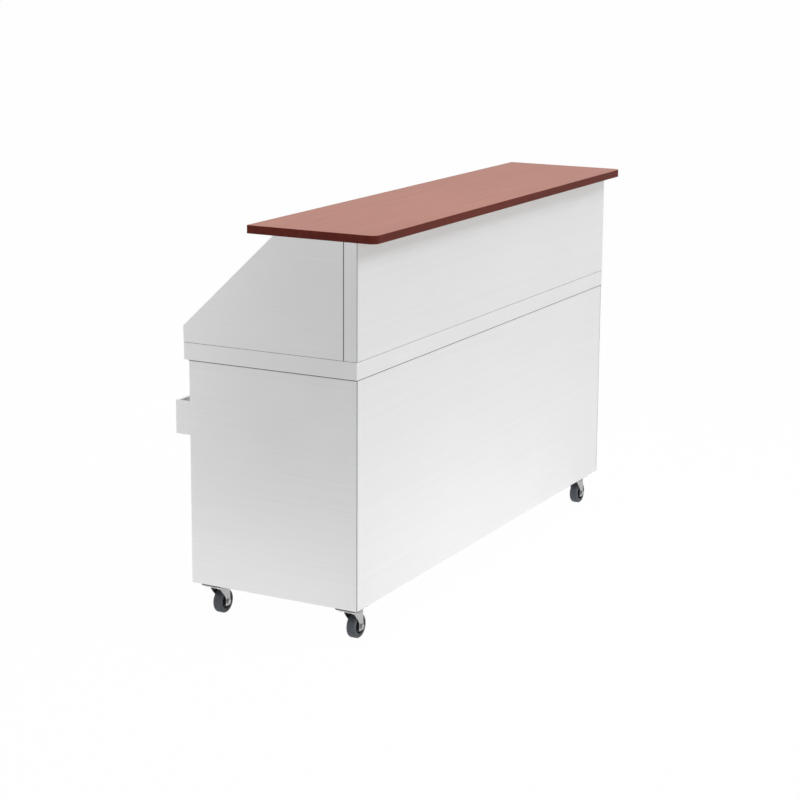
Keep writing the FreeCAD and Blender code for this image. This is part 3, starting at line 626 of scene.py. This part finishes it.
def ring_rows(centre, profile, steps=RING_STEPS, across=Y, axis=Z):
    """A profile turned about an axis. It is a list of (radius, offset along the axis)."""
    rows = []
    for step in range(steps):
        angle = math.tau * step / steps
        out = math.cos(angle) * X + math.sin(angle) * across
        rows.append([centre + radius * out + offset * axis for radius, offset in profile])
    return rows


def ring_points(centre, radius, steps, across=Y):
    return [row[0] for row in ring_rows(centre, [(radius, 0)], steps, across)]


def add_rows(shape, rows, ring=True, closed=False):
    """Skins rows of points. Ring joins the last row to the first; closed joins each row's ends."""
    made = [[shape.verts.new(point) for point in row] for row in rows]
    following = made[1:] + (made[:1] if ring else [])
    count = len(made[0])
    for row, after in zip(made, following):
        for index in range(count if closed else count - 1):
            ahead = (index + 1) % count
            shape.faces.new((row[index], row[ahead], after[ahead], after[index]))
    return made


def add_tube(shape, rows):
    """Skins closed rows one after the other and caps both ends."""
    made = add_rows(shape, rows, ring=False, closed=True)
    for row in (made[0], made[-1]):
        shape.faces.new(row)


print(f"rings are turned in {RING_STEPS} steps")

# %% [markdown]
# ## Dark joints: sealant and painted shade
#
# Where two sheets meet, the real bar shows a thin dark line: the worktop's edge under the raised wall,
# the lower panels under the band, and the upright seams at the corners. That line is the shade in the
# gap; here a bead of near-black sealant fills each gap and stands in for it, so the bead is partly a
# real seal and partly painted shade. A painted line would look flat from other sides, so each bead is a
# narrow strip with a face of its own: hollow where it sits back in a level joint, and a little proud
# where it caps an upright seam.

# %% Sealant and its beads
JOINT_DEEP = 0.3 * MM
BEND = 2.5 * MM
LAP = 0.6 * MM
SHEET = 1.2 * MM
BEND_STEPS = 4
work_low, work_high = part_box("worktop")
wing_low, wing_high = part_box("die_end_panel_left")
end_low, end_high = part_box("lower_end_panel_left")
panel_low, panel_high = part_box("lower_front_panel")
deck_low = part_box("base_deck")[0]

# Near-black sealant: a real seal, and its darkness is painted shade for the gaps.
sealant_and_gap_shade = moulded("sealant_and_painted_gap_shade", (0.028, 0.028, 0.03), (0.04, 0.04, 0.042), 0.5, 700.0, 0.00002)
print(f"{sealant_and_gap_shade.name} round a worktop {work_high.x - work_low.x:.3f} m long")


# %% Beads, level and upright
def around_front(inset, back):
    """Points round the bar's left end, front and right end, this far inside the worktop's edge."""
    points = [(work_low.x + inset, back)]
    for corner_x, start in ((work_low.x + BEND, 180), (work_high.x - BEND, 270)):
        points += arc(corner_x, work_low.y + BEND, BEND - inset, start, 90, BEND_STEPS)
    return points + [(work_high.x - inset, back)]


def bead_around(name, section, back):
    """A bead round three sides. Its section is a list of (inset, height)."""
    shape = bmesh.new()
    rows = [[(x, y, height) for x, y in around_front(inset, back)] for inset, height in section]
    made = add_rows(shape, rows)
    shape.faces.new([row[0] for row in made])
    shape.faces.new([row[-1] for row in reversed(made)])
    return add_piece(name, shape, "cabinet", sealant_and_gap_shade)


def upright_bead(name, section, low, high):
    """A bead along Z. Its section is a list of (x, y)."""
    shape = bmesh.new()
    add_tube(shape, [[(x, y, z) for x, y in section] for z in (low, high)])
    return add_piece(name, shape, "cabinet", sealant_and_gap_shade)


print(f"a bead round the front turns {len(around_front(JOINT_DEEP, 0)) - 2} points through its two bends")

# %% Joints round the worktop
top = work_high.z
bead_around("worktop_joint", [
    (JOINT_DEEP, top),
    (1.5 * JOINT_DEEP, top - 0.3 * BEND),
    (1.2 * JOINT_DEEP, top - 0.6 * BEND),
    (0.93 * BEND, top - 0.12 * MM),
    (0.93 * BEND, top),
], wing_high.y - BEND)

band_foot = work_low.z
under = end_low.x - work_low.x
bead_around("skirt_joint", [
    (0.5 * JOINT_DEEP, band_foot),
    (2.0 * JOINT_DEEP, band_foot - 1.6 * MM),
    (under - 0.05 * MM, band_foot - 2.6 * MM),
    (under - 0.05 * MM, band_foot),
], end_high.y)
print(f"joints: worktop at {top:.3f} m, band at {band_foot:.3f} m")

# %% Seams at the wings and the lower corners
wing_gap = (wall_high.y, wing_low.y)
corner_gap = (deck_low.x, panel_low.x)
# The left corner's bead caps the end panel's cut edge; the right one only fills a tight joint.
CORNER_BEAD = {"left": (end_low.x + 0.1 * MM, LAP), "right": (panel_low.x - 0.3 * MM, 0.1 * LAP)}
SIDES = (("left", -1), ("right", 1))
for name, outward in SIDES:
    inward = -outward
    face = inward * work_low.x
    upright_bead(f"wing_joint_{name}", [
        (face + inward * SHEET, wing_gap[0]),
        (face, wing_gap[0]),
        (face, wing_gap[0] - LAP),
        (face - inward * 0.4 * LAP, wing_gap[0]),
        (face - inward * 0.4 * LAP, wing_gap[1]),
        (face, wing_gap[1] + LAP),
        (face, wing_gap[1]),
        (face + inward * SHEET, wing_gap[1]),
    ], wall_low.z, wall_high.z)
    near, far = (inward * x for x in corner_gap)
    outer, lap = CORNER_BEAD[name]
    upright_bead(f"corner_joint_{name}", [
        (near, end_low.y + SHEET),
        (near, end_low.y),
        (inward * outer, end_low.y),
        (inward * (outer + 0.1 * MM), end_low.y - 0.9 * lap),
        (far, end_low.y - 1.2 * lap),
        (far + inward * 1.6 * lap, end_low.y),
        (far, end_low.y),
        (far, end_low.y + SHEET),
    ], panel_low.z, panel_high.z)
print(f"seams at the wings: {(wing_gap[1] - wing_gap[0]) / MM:.1f} mm wide")

# %% [markdown]
# ## Wheels
#
# A moulded wheel saves plastic with a thin web between hub and rim, and ribs keep the web stiff. The
# CAD core is turned, so the ribs are added on both sides of the web, riding on the wheel that
# they belong to. The tread gets two fine raised rings on each wall, as the mould leaves them, and a
# washer fills the running gap between each hub and its fork leg.

# %% Ribs on both sides of the web
RIBS = 6
HUB_RADIUS, RIM_RADIUS, WEB_HALF = 11.5 * MM, 23.4 * MM, 6 * MM
RIB_WIDE, RIB_FACE, RIB_DIP = 2.2 * MM, 10.5 * MM, 2.5 * MM


def wheel_ribs(name):
    shape = bmesh.new()
    centre = middle(f"wheel_tread_{name}")
    for number in range(RIBS):
        turn = Matrix.Rotation(math.tau * number / RIBS, 4, "Y")
        for side in (-1, 1):
            half = RIB_WIDE / 2
            inner, outer = side * (WEB_HALF - 0.5 * MM), side * RIB_FACE
            dip = (0.5 * (HUB_RADIUS + RIM_RADIUS), outer - side * RIB_DIP)
            rows = []
            for radius, face in ((HUB_RADIUS, outer), dip, (RIM_RADIUS, outer)):
                corners = ((-half, inner), (half, inner), (0.7 * half, face), (-0.7 * half, face))
                rows.append([centre + turn @ Vector((radius, y, z)) for z, y in corners])
            add_tube(shape, rows)
    add_piece(f"wheel_ribs_{name}", shape, f"wheel_{name}", core_plastic)


print(f"wheels: {RIBS} ribs a side, tread {middle('wheel_tread_front_left').z / MM:.0f} mm in radius")

# %% Rings on the tread and washers at the hub
TREAD_RINGS = (28.4 * MM, 30.2 * MM)
RING_HALF, RING_ROOT, RING_PROUD = 0.5 * MM, 0.1 * MM, 0.35 * MM
WASHER_BORE, WASHER_RADIUS = 5.2 * MM, 9.0 * MM
WASHER_FACES = (16.25 * MM, 16.45 * MM)


def tread_rings(name):
    shape = bmesh.new()
    low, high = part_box(f"wheel_tread_{name}")
    half = (high.y - low.y) / 2
    for side in (-1, 1):
        root, crest = side * (half - RING_ROOT), side * (half + RING_PROUD)
        for radius in TREAD_RINGS:
            profile = [(radius - RING_HALF, root), (radius, crest), (radius + RING_HALF, root)]
            add_rows(shape, ring_rows((low + high) / 2, profile, RING_STEPS, Z, Y), closed=True)
    add_piece(f"tread_rings_{name}", shape, f"wheel_{name}", tread_rubber, 80)


def hub_washers(name):
    shape = bmesh.new()
    for side in (-1, 1):
        inner, outer = (side * face for face in WASHER_FACES)
        profile = [(WASHER_BORE, inner), (WASHER_RADIUS, inner), (WASHER_RADIUS, outer), (WASHER_BORE, outer)]
        add_rows(shape, ring_rows(middle(f"wheel_tread_{name}"), profile, RING_STEPS, Z, Y), closed=True)
    add_piece(f"hub_washers_{name}", shape, f"fork_{name}", screw_zinc)


for name in CASTERS:
    wheel_ribs(name)
    tread_rings(name)
    hub_washers(name)
print(f"{len(CASTERS)} wheels with {len(TREAD_RINGS)} rings on each wall")

# %% [markdown]
# ## Screws and bolts
#
# A cylinder reads as a peg: what says screw is the recess. One screw is built with a turned head and a
# cross cut into it by a Boolean modifier, then its mesh is copied to every place. The bolts' hexagons
# are cut by a cone, which leaves the curved chamfer that a turned bar end has.

# %% One shape cut by another, and copies of the result
def combined(first, second, operation):
    """The mesh of two bmeshes put through a Boolean modifier."""
    items = [in_scene("part", mesh_of(shape)) for shape in (first, second)]
    cut = items[0].modifiers.new("cut", "BOOLEAN")
    cut.operation = operation
    cut.object = items[1]
    graph = bpy.context.evaluated_depsgraph_get()
    mesh = bpy.data.meshes.new_from_object(items[0].evaluated_get(graph))
    for item in items:
        bpy.data.objects.remove(item)
    return mesh


def turned(profile, steps=32):
    """A bmesh turned about Z: the profile is a list of (radius, height), from axis to axis."""
    shape = bmesh.new()
    add_rows(shape, ring_rows(Vector(), profile, steps))
    bmesh.ops.remove_doubles(shape, verts=shape.verts, dist=1e-7)
    bmesh.ops.dissolve_degenerate(shape, edges=shape.edges, dist=1e-7)
    return shape


def copies(mesh, places):
    """A bmesh that holds one copy of the mesh at each matrix."""
    shape = bmesh.new()
    for place in places:
        one = mesh.copy()
        one.transform(place)
        shape.from_mesh(one)
        bpy.data.meshes.remove(one)
    return shape


def cross(reach, wide, low, high):
    """A cross-shaped tool that narrows downward, as a cross-head driver does."""
    shape = bmesh.new()
    rows = []
    for z, share in ((low, 0.45), (high, 1.0)):
        arm, half = reach * share, wide / 2 * (0.6 + 0.4 * share)
        quarter = [Vector((arm, -half, z)), Vector((arm, half, z)), Vector((half, half, z))]
        rows.append([Matrix.Rotation(turn * math.pi / 2, 3, "Z") @ point for turn in range(4) for point in quarter])
    add_tube(shape, rows)
    return shape


print("a shape can be turned, cut by another and copied")

# %% Cross-head screws of the bar top and the speed rail
HEAD_RADIUS, HEAD_HIGH = 5 * MM, 3 * MM
SHANK_RADIUS = 2.5 * MM


def screw_mesh(shank):
    profile = [
        (0, -shank), (SHANK_RADIUS * 0.5, -shank), (SHANK_RADIUS, -shank + 1.5 * MM), (SHANK_RADIUS, 0),
        (HEAD_RADIUS, 0), (HEAD_RADIUS, 0.35 * HEAD_HIGH), (0.93 * HEAD_RADIUS, 0.65 * HEAD_HIGH),
        (0.75 * HEAD_RADIUS, 0.88 * HEAD_HIGH), (0.4 * HEAD_RADIUS, HEAD_HIGH), (0, HEAD_HIGH),
    ]
    recess = cross(2.9 * MM, 1.25 * MM, 0.25 * HEAD_HIGH, 1.2 * HEAD_HIGH)
    return combined(turned(profile), recess, "DIFFERENCE")


def islands(node):
    """The lowest and the highest corner of each separate solid of a CAD node, found from its mesh."""
    shape = bmesh.new()
    shape.from_mesh(nodes[node].data)
    bmesh.ops.remove_doubles(shape, verts=shape.verts, dist=1e-5)
    left, found = set(shape.verts), []
    while left:
        group, edge = set(), [left.pop()]
        while edge:
            vertex = edge.pop()
            group.add(vertex)
            for link in vertex.link_edges:
                other = link.other_vert(vertex)
                if other in left:
                    left.remove(other)
                    edge.append(other)
        spans = [[getattr(vertex.co, axis) for vertex in group] for axis in "xyz"]
        found.append((Vector([min(span) for span in spans]), Vector([max(span) for span in spans])))
    shape.free()
    return sorted(found, key=lambda pair: tuple(pair[0]))


def place_heads(name, node, mesh, head_high, turn, seed):
    """One copy of the mesh for each solid of a node, each turned about its own axis by chance."""
    ahead = turn.to_3x3() @ Z
    random.seed(seed)
    places = []
    for low, high in islands(node):
        seat = (low + high) / 2 + (high - low) / 2 * ahead - head_high * ahead
        spin = Matrix.Rotation(random.uniform(0, math.pi), 4, "Z")
        places.append(Matrix.Translation(seat) @ turn @ spin)
    piece = add_piece(name, copies(mesh, places), "cabinet", screw_zinc, 30)
    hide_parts(node)
    print(f"{name}: {len(places)} heads, {head_high / MM:.0f} mm high")


DOWN, BACK = Matrix.Rotation(math.pi, 4, "X"), Matrix.Rotation(-math.pi / 2, 4, "X")
place_heads("bar_top_screw_set", "bar_top_screws", screw_mesh(18 * MM), HEAD_HIGH, DOWN, 7)
place_heads("rail_screw_set", "rail_screws", screw_mesh(10 * MM), HEAD_HIGH, BACK, 7)

# %% Hexagon bolts of the casters
BOLT_RADIUS, BOLT_HEAD, BOLT_HEAD_HIGH = 4 * MM, 6.5 * MM, 5 * MM
COLLAR_RADIUS, COLLAR_HIGH, BOLT_TIP = 7.0 * MM, 0.8 * MM, 0.8 * MM


def prism(sides, radius, low, high):
    shape = bmesh.new()
    add_tube(shape, [ring_points(Vector((0, 0, z)), radius, sides) for z in (low, high)])
    return shape


def hexagon(radius, high):
    """A hexagon with a turned chamfer at its top: the bottom lies at height 0."""
    flat = radius * math.cos(math.pi / 6)
    cone = turned([
        (0, -high), (1.2 * radius, -high), (1.2 * radius, high - 1.4 * MM), (0.96 * flat, high), (0, high),
    ])
    return combined(prism(6, radius, 0, high), cone, "INTERSECT")


def bolt_mesh(shank_long):
    collar = turned([
        (0, 0), (COLLAR_RADIUS, 0), (COLLAR_RADIUS, 0.6 * COLLAR_HIGH), (6.2 * MM, COLLAR_HIGH), (0, COLLAR_HIGH),
    ])
    shank = turned([
        (0, -shank_long), (BOLT_RADIUS - BOLT_TIP, -shank_long), (BOLT_RADIUS, BOLT_TIP - shank_long),
        (BOLT_RADIUS, 0), (0, 0),
    ])
    head = hexagon(BOLT_HEAD, BOLT_HEAD_HIGH - COLLAR_HIGH)
    head.transform(Matrix.Translation((0, 0, COLLAR_HIGH)))
    whole = bmesh.new()
    for part in (head, mesh_of(collar), mesh_of(shank)):
        whole.from_mesh(part)
    return mesh_of(whole)


bolt_low, bolt_high = islands("caster_bolts")[0]
bolt = bolt_mesh(bolt_high.z - bolt_low.z - BOLT_HEAD_HIGH)
place_heads("caster_bolt_set", "caster_bolts", bolt, BOLT_HEAD_HIGH, DOWN, 11)

# %% [markdown]
# ## Casters: pressed races and bearing balls
#
# A swivel caster turns on a ring of balls between two pressed plates. The plates are folded round the
# ring, which shows as a rounded rim on each of them with a thin dark gap between, and through the gap
# the balls glint. The upper rim and the balls belong to the plate, and the lower rim turns with the fork.

# %% Ball races
BALLS = 22
BALL_RADIUS, BALL_LEVEL = 0.825 * MM, 0.9 * MM
RIM_SINK = 0.5 * MM
UPPER_RIM = (1.3 * MM, 6.3 * MM, 1.4 * MM)
LOWER_RIM = (-3.0 * MM, -0.4 * MM, 1.0 * MM)


def rim_profile(radius, low, high, swell):
    """A half-round swelling on a round wall of this radius."""
    bulge = arc(radius, (low + high) / 2, swell, -90, 180, 8, (high - low) / 2)
    return [(radius - RIM_SINK, low), *bulge, (radius - RIM_SINK, high)]


def ball_race(name):
    """Two rims, each given by its foot and head above the fork's top and by its swell, and the balls."""
    low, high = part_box(f"caster_fork_{name}")
    race = 0.5 * (high.y - low.y)
    centre = middle(f"caster_plate_{name}").xy.to_3d()
    for part, (foot, head, swell), body in (("upper", UPPER_RIM, "cabinet"), ("lower", LOWER_RIM, f"fork_{name}")):
        shape = bmesh.new()
        profile = rim_profile(race, high.z + foot, high.z + head, swell)
        add_rows(shape, ring_rows(centre, profile), closed=True)
        add_piece(f"{part}_race_{name}", shape, body, caster_zinc_and_shade)
    ball = mesh_of(turned(arc(0, 0, BALL_RADIUS, -90, 180, 8), 12))
    spots = ring_points(centre + (high.z + BALL_LEVEL) * Z, race, BALLS)
    places = [Matrix.Translation(spot) for spot in spots]
    add_piece(f"race_balls_{name}", copies(ball, places), "cabinet", valve_metal)
    return race


for name in CASTERS:
    race = ball_race(name)
print(f"races: {2 * race / MM:.0f} mm across, {BALLS} balls each")

# %% [markdown]
# ## Drain: sleeve and thread
#
# A ball valve's lever has a vinyl sleeve dipped over its arm, so that a cold steel strip can be turned by
# a wet hand. The spout under the valve carries a pipe thread for the hose, which is built as a row
# of fine ridges.

# %% Vinyl sleeve of the lever
vinyl = moulded("dipped_vinyl", (0.035, 0.09, 0.24), (0.05, 0.115, 0.28), 0.4, 500.0, 0.00003)
lever_low, lever_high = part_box("valve_lever")
arm_middle_z = (lever_low.z + lever_high.z) / 2
arm_half = (lever_high.z - lever_low.z) / 2
ARM_THICK, SLEEVE, SLEEVE_START = 3 * MM, 1.3 * MM, 0.36
NOTCHES, NOTCH_PITCH = 6, 5 * MM


def sleeve_row(x, grow):
    """A rounded rectangle round the arm at this place."""
    half_y, half_z = ARM_THICK / 2 + grow, arm_half + grow
    centre_y = lever_high.y - ARM_THICK / 2
    corner = min(half_y, half_z) * 0.95
    row = []
    for sign_y, sign_z, start in ((1, 1, 0), (-1, 1, 90), (-1, -1, 180), (1, -1, 270)):
        y, z = centre_y + sign_y * (half_y - corner), arm_middle_z + sign_z * (half_z - corner)
        row += arc(y, z, corner, start, 90, 4)
    return [(x, y, z) for y, z in row]


def lever_sleeve():
    start = lever_low.x + SLEEVE_START * (lever_high.x - lever_low.x)
    straight_end = lever_high.x - 0.5 * arm_half
    stations = [(start, 0.35), (start + 0.6 * MM, 0.8), (start + 2.0 * MM, 1.0), (start + 3.0 * MM, 1.0)]
    for number in range(NOTCHES):
        notch = start + 8 * MM + number * NOTCH_PITCH
        stations += [(notch, 1.0), (notch + 0.6 * MM, 0.55), (notch + 1.4 * MM, 0.55), (notch + 2.0 * MM, 1.0)]
    stations += [(straight_end, 1.0)]
    shape = bmesh.new()
    rows = [sleeve_row(x, SLEEVE * share) for x, share in stations]
    tip = lever_high.x + SLEEVE
    for share in (0.35, 0.65, 0.85, 0.96):
        x = straight_end + (tip - straight_end) * share
        squeeze = math.sqrt(1 - share * share)
        rows.append([(x, y, arm_middle_z + (z - arm_middle_z) * squeeze) for _, y, z in sleeve_row(x, SLEEVE)])
    add_tube(shape, rows)
    add_piece("lever_sleeve", shape, "drain_handle", vinyl, 50)


lever_sleeve()
print(f"sleeve: {NOTCHES} grip notches, tip at x = {lever_high.x / MM:.0f} mm")

# %% Thread of the spout
RIDGES, RIDGE_PITCH = 11, 1.8 * MM
RIDGE_ROOT, RIDGE_CREST = 12.4 * MM, 13.45 * MM


def spout_thread():
    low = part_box("valve_body")[0]
    centre = middle("valve_ball").xy.to_3d()
    shape = bmesh.new()
    for number in range(RIDGES):
        foot = low.z + 1.2 * MM + number * RIDGE_PITCH
        crest, end = foot + 0.5 * RIDGE_PITCH, foot + 0.94 * RIDGE_PITCH
        profile = [(RIDGE_ROOT, foot), (RIDGE_CREST, crest), (RIDGE_ROOT, end)]
        add_rows(shape, ring_rows(centre, profile), closed=True)
    add_piece("spout_thread", shape, "cabinet", valve_metal, 20)


spout_thread()
print(f"spout: {RIDGES} ridges over {RIDGES * RIDGE_PITCH / MM:.0f} mm")

# %% [markdown]
# ## Sealed and welded edges
#
# Melt water must not creep under the bin's rim, so a fitter runs clear silicone round it. The rail's
# end plates are welded to the trough: a weld is a row of small frozen waves, so its bead is a tube
# whose radius ripples. Blind rivets hold the shelf angles on the end panels.

# %% Silicone round the bin's rim
RIM_CORNER = 18 * MM
silicone = moulded("clear_silicone", (0.55, 0.56, 0.56), (0.42, 0.43, 0.43), 0.3, 300.0, 0.00003)


def rounded_loop(low, high, radius, grow):
    """Points round a rectangle with round corners, this far outside it."""
    left, right, front, back = low.x + radius, high.x - radius, low.y + radius, high.y - radius
    points = []
    for x, y, start in ((right, back, 0), (left, back, 90), (left, front, 180), (right, front, 270)):
        points += arc(x, y, radius + grow, start, 90, 8)
    return points


def rim_silicone():
    low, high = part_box("ice_bin_liner")
    section = [
        (-0.2 * MM, top), (1.9 * MM, top), (1.2 * MM, top + 0.35 * MM),
        (0.5 * MM, high.z - 0.35 * MM), (-0.2 * MM, high.z - 0.1 * MM),
    ]
    shape = bmesh.new()
    rows = [[(x, y, z) for x, y in rounded_loop(low, high, RIM_CORNER, grow)] for grow, z in section]
    add_rows(shape, rows, closed=True)
    add_piece("rim_silicone", shape, "cabinet", silicone, 60)
    return high.z - top


rim_high = rim_silicone()
print(f"{silicone.name} up a rim {rim_high / MM:.1f} mm thick")

# %% Welds of the speed rail
WELD_RADIUS, WELD_WAVE, WELD_PITCH = 0.65 * MM, 0.13 * MM, 1.6 * MM


def bead_along(shape, path, radius, wave, pitch):
    """A rippled tube in a plane of constant x. The path is a list of Vectors."""
    random.seed(3)
    rows = []
    for start, end in zip(path, path[1:]):
        count = max(2, round((end - start).length / (pitch / 4)))
        forward = (end - start).normalized()
        out = forward.cross(X)
        for step in range(count):
            centre = start.lerp(end, step / count)
            ripple = radius + wave * math.cos(math.tau * step / 4) + random.uniform(-0.4, 0.4) * wave
            rows.append(ring_points(centre, ripple, 8, out))
    add_tube(shape, rows)


def rail_weld(name, side):
    low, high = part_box("speed_rail_trough")
    x = side * high.x
    corners = (
        (low.y + 1.5 * MM, low.z), (high.y - 1.0 * MM, low.z),
        (high.y, low.z + 1.0 * MM), (high.y, high.z - 1.5 * MM),
    )
    shape = bmesh.new()
    bead_along(shape, [Vector((x, y, z)) for y, z in corners], WELD_RADIUS, WELD_WAVE, WELD_PITCH)
    add_piece(f"rail_weld_{name}", shape, "cabinet", steel_z, 60)


print(f"a weld is {2 * WELD_RADIUS / MM:.1f} mm wide")

# %% Rivets of the shelf angles, and both sides placed
RIVETS, RIVET_LEVEL, ANGLE_THICK = 5, 9 * MM, 2 * MM
RIVET_PROFILE = [
    (0, -0.4), (3.3, -0.4), (3.3, 0.25), (2.7, 0.8), (1.6, 1.15), (0.9, 1.2), (0.7, 0.75), (0, 0.75),
]


def shelf_rivets(name, side):
    low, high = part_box(f"shelf_angle_{name}")
    seat_x = side * (max(abs(low.x), abs(high.x)) - ANGLE_THICK)
    head = mesh_of(turned([(radius * MM, height * MM) for radius, height in RIVET_PROFILE], 24))
    inward = Matrix.Rotation(-side * math.pi / 2, 4, "Y")
    places = []
    for number in range(RIVETS):
        y = low.y + (high.y - low.y) * (0.08 + 0.21 * number)
        places.append(Matrix.Translation((seat_x, y, low.z + RIVET_LEVEL)) @ inward)
    add_piece(f"shelf_rivets_{name}", copies(head, places), "cabinet", screw_zinc, 40)


for name, side in SIDES:
    rail_weld(name, side)
    shelf_rivets(name, side)
print(f"a weld on each end plate and {RIVETS} rivets in each shelf angle")

# %% [markdown]
# ## Floor and studio light
#
# The photograph has a white ground with hardly a shadow. More light would wash the steel out, so the
# white comes from colour alone: where the camera, a reflection or a view through glass meets the floor
# or the world, most of what it sees is a plain white of strength 1, and the rest is the floor's own
# lit surface with the object's soft shadow. The light on the object is a calm mix of an even
# sky and four large soft boxes.

# %% White floor and world
SKY_LEVEL = 0.3
FLOOR_WHITE = 0.985
FLOOR_HALF = 150.0


def seen_directly(tree):
    """1 for rays of the camera, a reflection or a transmission, and 0 for light on the object."""
    path = tree.nodes.new("ShaderNodeLightPath")
    total = path.outputs["Is Camera Ray"]
    for name in ("Is Glossy Ray", "Is Transmission Ray"):
        either = tree.nodes.new("ShaderNodeMath")
        either.operation = "MAXIMUM"
        tree.links.new(total, either.inputs[0])
        tree.links.new(path.outputs[name], either.inputs[1])
        total = either.outputs[0]
    return total


def studio_world():
    world = bpy.data.worlds.new("studio")
    world.use_nodes = True
    tree = world.node_tree
    background = tree.nodes["Background"]
    background.inputs["Color"].default_value = (1.0, 1.0, 1.0, 1.0)
    level = tree.nodes.new("ShaderNodeMapRange")
    level.inputs["To Min"].default_value = SKY_LEVEL
    tree.links.new(seen_directly(tree), level.inputs["Value"])
    tree.links.new(level.outputs["Result"], background.inputs["Strength"])
    bpy.context.scene.world = world


def sheet(name, corners):
    """A flat sheet of the studio, its material's nodes and the socket that its surface feeds."""
    mesh = bpy.data.meshes.new(name)
    mesh.from_pydata(corners, [], [range(len(corners))])
    paint = bpy.data.materials.new(name)
    paint.use_nodes = True
    mesh.materials.append(paint)
    tree = paint.node_tree
    tree.nodes.clear()
    return in_scene(name, mesh), tree, tree.nodes.new("ShaderNodeOutputMaterial").inputs["Surface"]


def studio_floor():
    corners = [(x * FLOOR_HALF, y * FLOOR_HALF, 0) for x, y in ((-1, -1), (1, -1), (1, 1), (-1, 1))]
    floor, tree, surface = sheet("studio_floor", corners)
    lit = tree.nodes.new("ShaderNodeBsdfDiffuse")
    lit.inputs["Color"].default_value = (0.9, 0.9, 0.9, 1.0)
    white = tree.nodes.new("ShaderNodeEmission")
    share = tree.nodes.new("ShaderNodeMapRange")
    share.inputs["To Max"].default_value = FLOOR_WHITE
    both = tree.nodes.new("ShaderNodeMixShader")
    tree.links.new(seen_directly(tree), share.inputs["Value"])
    tree.links.new(share.outputs["Result"], both.inputs[0])
    tree.links.new(lit.outputs[0], both.inputs[1])
    tree.links.new(white.outputs[0], both.inputs[2])
    tree.links.new(both.outputs[0], surface)
    floor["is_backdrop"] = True


studio_world()
studio_floor()
print("floor and world are white where they are seen")

# %% Soft boxes
TARGET = Vector((0.0, 0.0, 0.7))


def soft_box(name, place, width, height, watts):
    lamp = bpy.data.lights.new(name, "AREA")
    lamp.shape = "RECTANGLE"
    lamp.size = width
    lamp.size_y = height
    lamp.energy = watts
    holder = in_scene(name, lamp)
    holder.location = place
    holder.rotation_mode = "QUATERNION"
    holder.rotation_quaternion = (TARGET - Vector(place)).to_track_quat("-Z", "Y")
    holder.visible_camera = False


soft_box("overhead_box", (0.0, -0.2, 4.2), 4.0, 3.0, 50)
soft_box("customer_side_box", (0.3, -2.9, 4.0), 4.0, 1.6, 74)
soft_box("bartender_side_box", (2.5, 4.5, 2.6), 3.0, 2.0, 25)
soft_box("left_box", (-3.6, 0.2, 3.4), 2.0, 1.6, 20)
print("four soft boxes")

# %% [markdown]
# ## Grey cards for the steel
#
# Metal has no colour of its own to show: it shows what stands round it, and an all-white room leaves
# it flat. Photographers stand grey cards beside a metal object, out of the picture, so that each face
# gets a gradient. Here a dark card stands past the left end and two paler ones in a row on the
# customers' side, and a white reflector lies in front of each of those two faces to lift its lower
# edge. All five show in reflections alone and cast no shadow.

# %% Cards that only reflections see
ACROSS_X, ACROSS_Y, LEVEL = 0, 1, 2
PAST_LEFT, PAST_FRONT, ON_FLOOR = -1.5, -1.1, 0.004


def grey_card(name, axis, place, outline, tone):
    """A card that is flat across an axis at this place. Its outline gives the other two coordinates."""
    corners = [point[:axis] + (place,) + point[axis:] for point in outline]
    card, tree, surface = sheet(name, corners)
    glow = tree.nodes.new("ShaderNodeEmission")
    glow.inputs["Color"].default_value = (tone, tone, tone, 1.0)
    tree.links.new(glow.outputs[0], surface)
    card.visible_camera = False
    card.visible_diffuse = False
    card.visible_transmission = False
    card.visible_shadow = False
    card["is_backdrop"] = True


def rectangle(low, high):
    return [low, (high[0], low[1]), high, (low[0], high[1])]


grey_card("left_card", ACROSS_X, PAST_LEFT, [
    (-0.5, 0.2), (0.75, 0.1), (0.6, 0.6), (0.45, 1.0), (0.4, 1.8), (-0.5, 1.8),
], 0.42)
grey_card("customer_side_card", ACROSS_Y, PAST_FRONT, [(-0.9, 0.5), (1.8, 0.35), (1.8, 1.8), (-0.9, 1.8)], 0.75)
grey_card("pale_customer_card", ACROSS_Y, PAST_FRONT, [(1.8, 0.35), (5.0, 0.2), (5.0, 1.8), (1.8, 1.8)], 0.87)
grey_card("left_reflector", LEVEL, ON_FLOOR, rectangle((-1.9, -0.2), (-0.98, 1.0)), 1.2)
grey_card("front_reflector", LEVEL, ON_FLOOR, rectangle((-0.9, -0.9), (0.7, -0.36)), 1.2)
print("three grey cards and two reflectors")

# %% [markdown]
# ## Sizes and close
#
# The dressed model's box is measured against the CAD model's box, and how much it grew is printed.
# The dressed model has to stay inside the CAD model's box.

# %% Write the sizes and finish
seen_low, seen_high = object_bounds()
growth = (seen_high - seen_low) - (cad_high - cad_low)
print("grown by", [round(side / MM, 2) for side in growth], "mm")
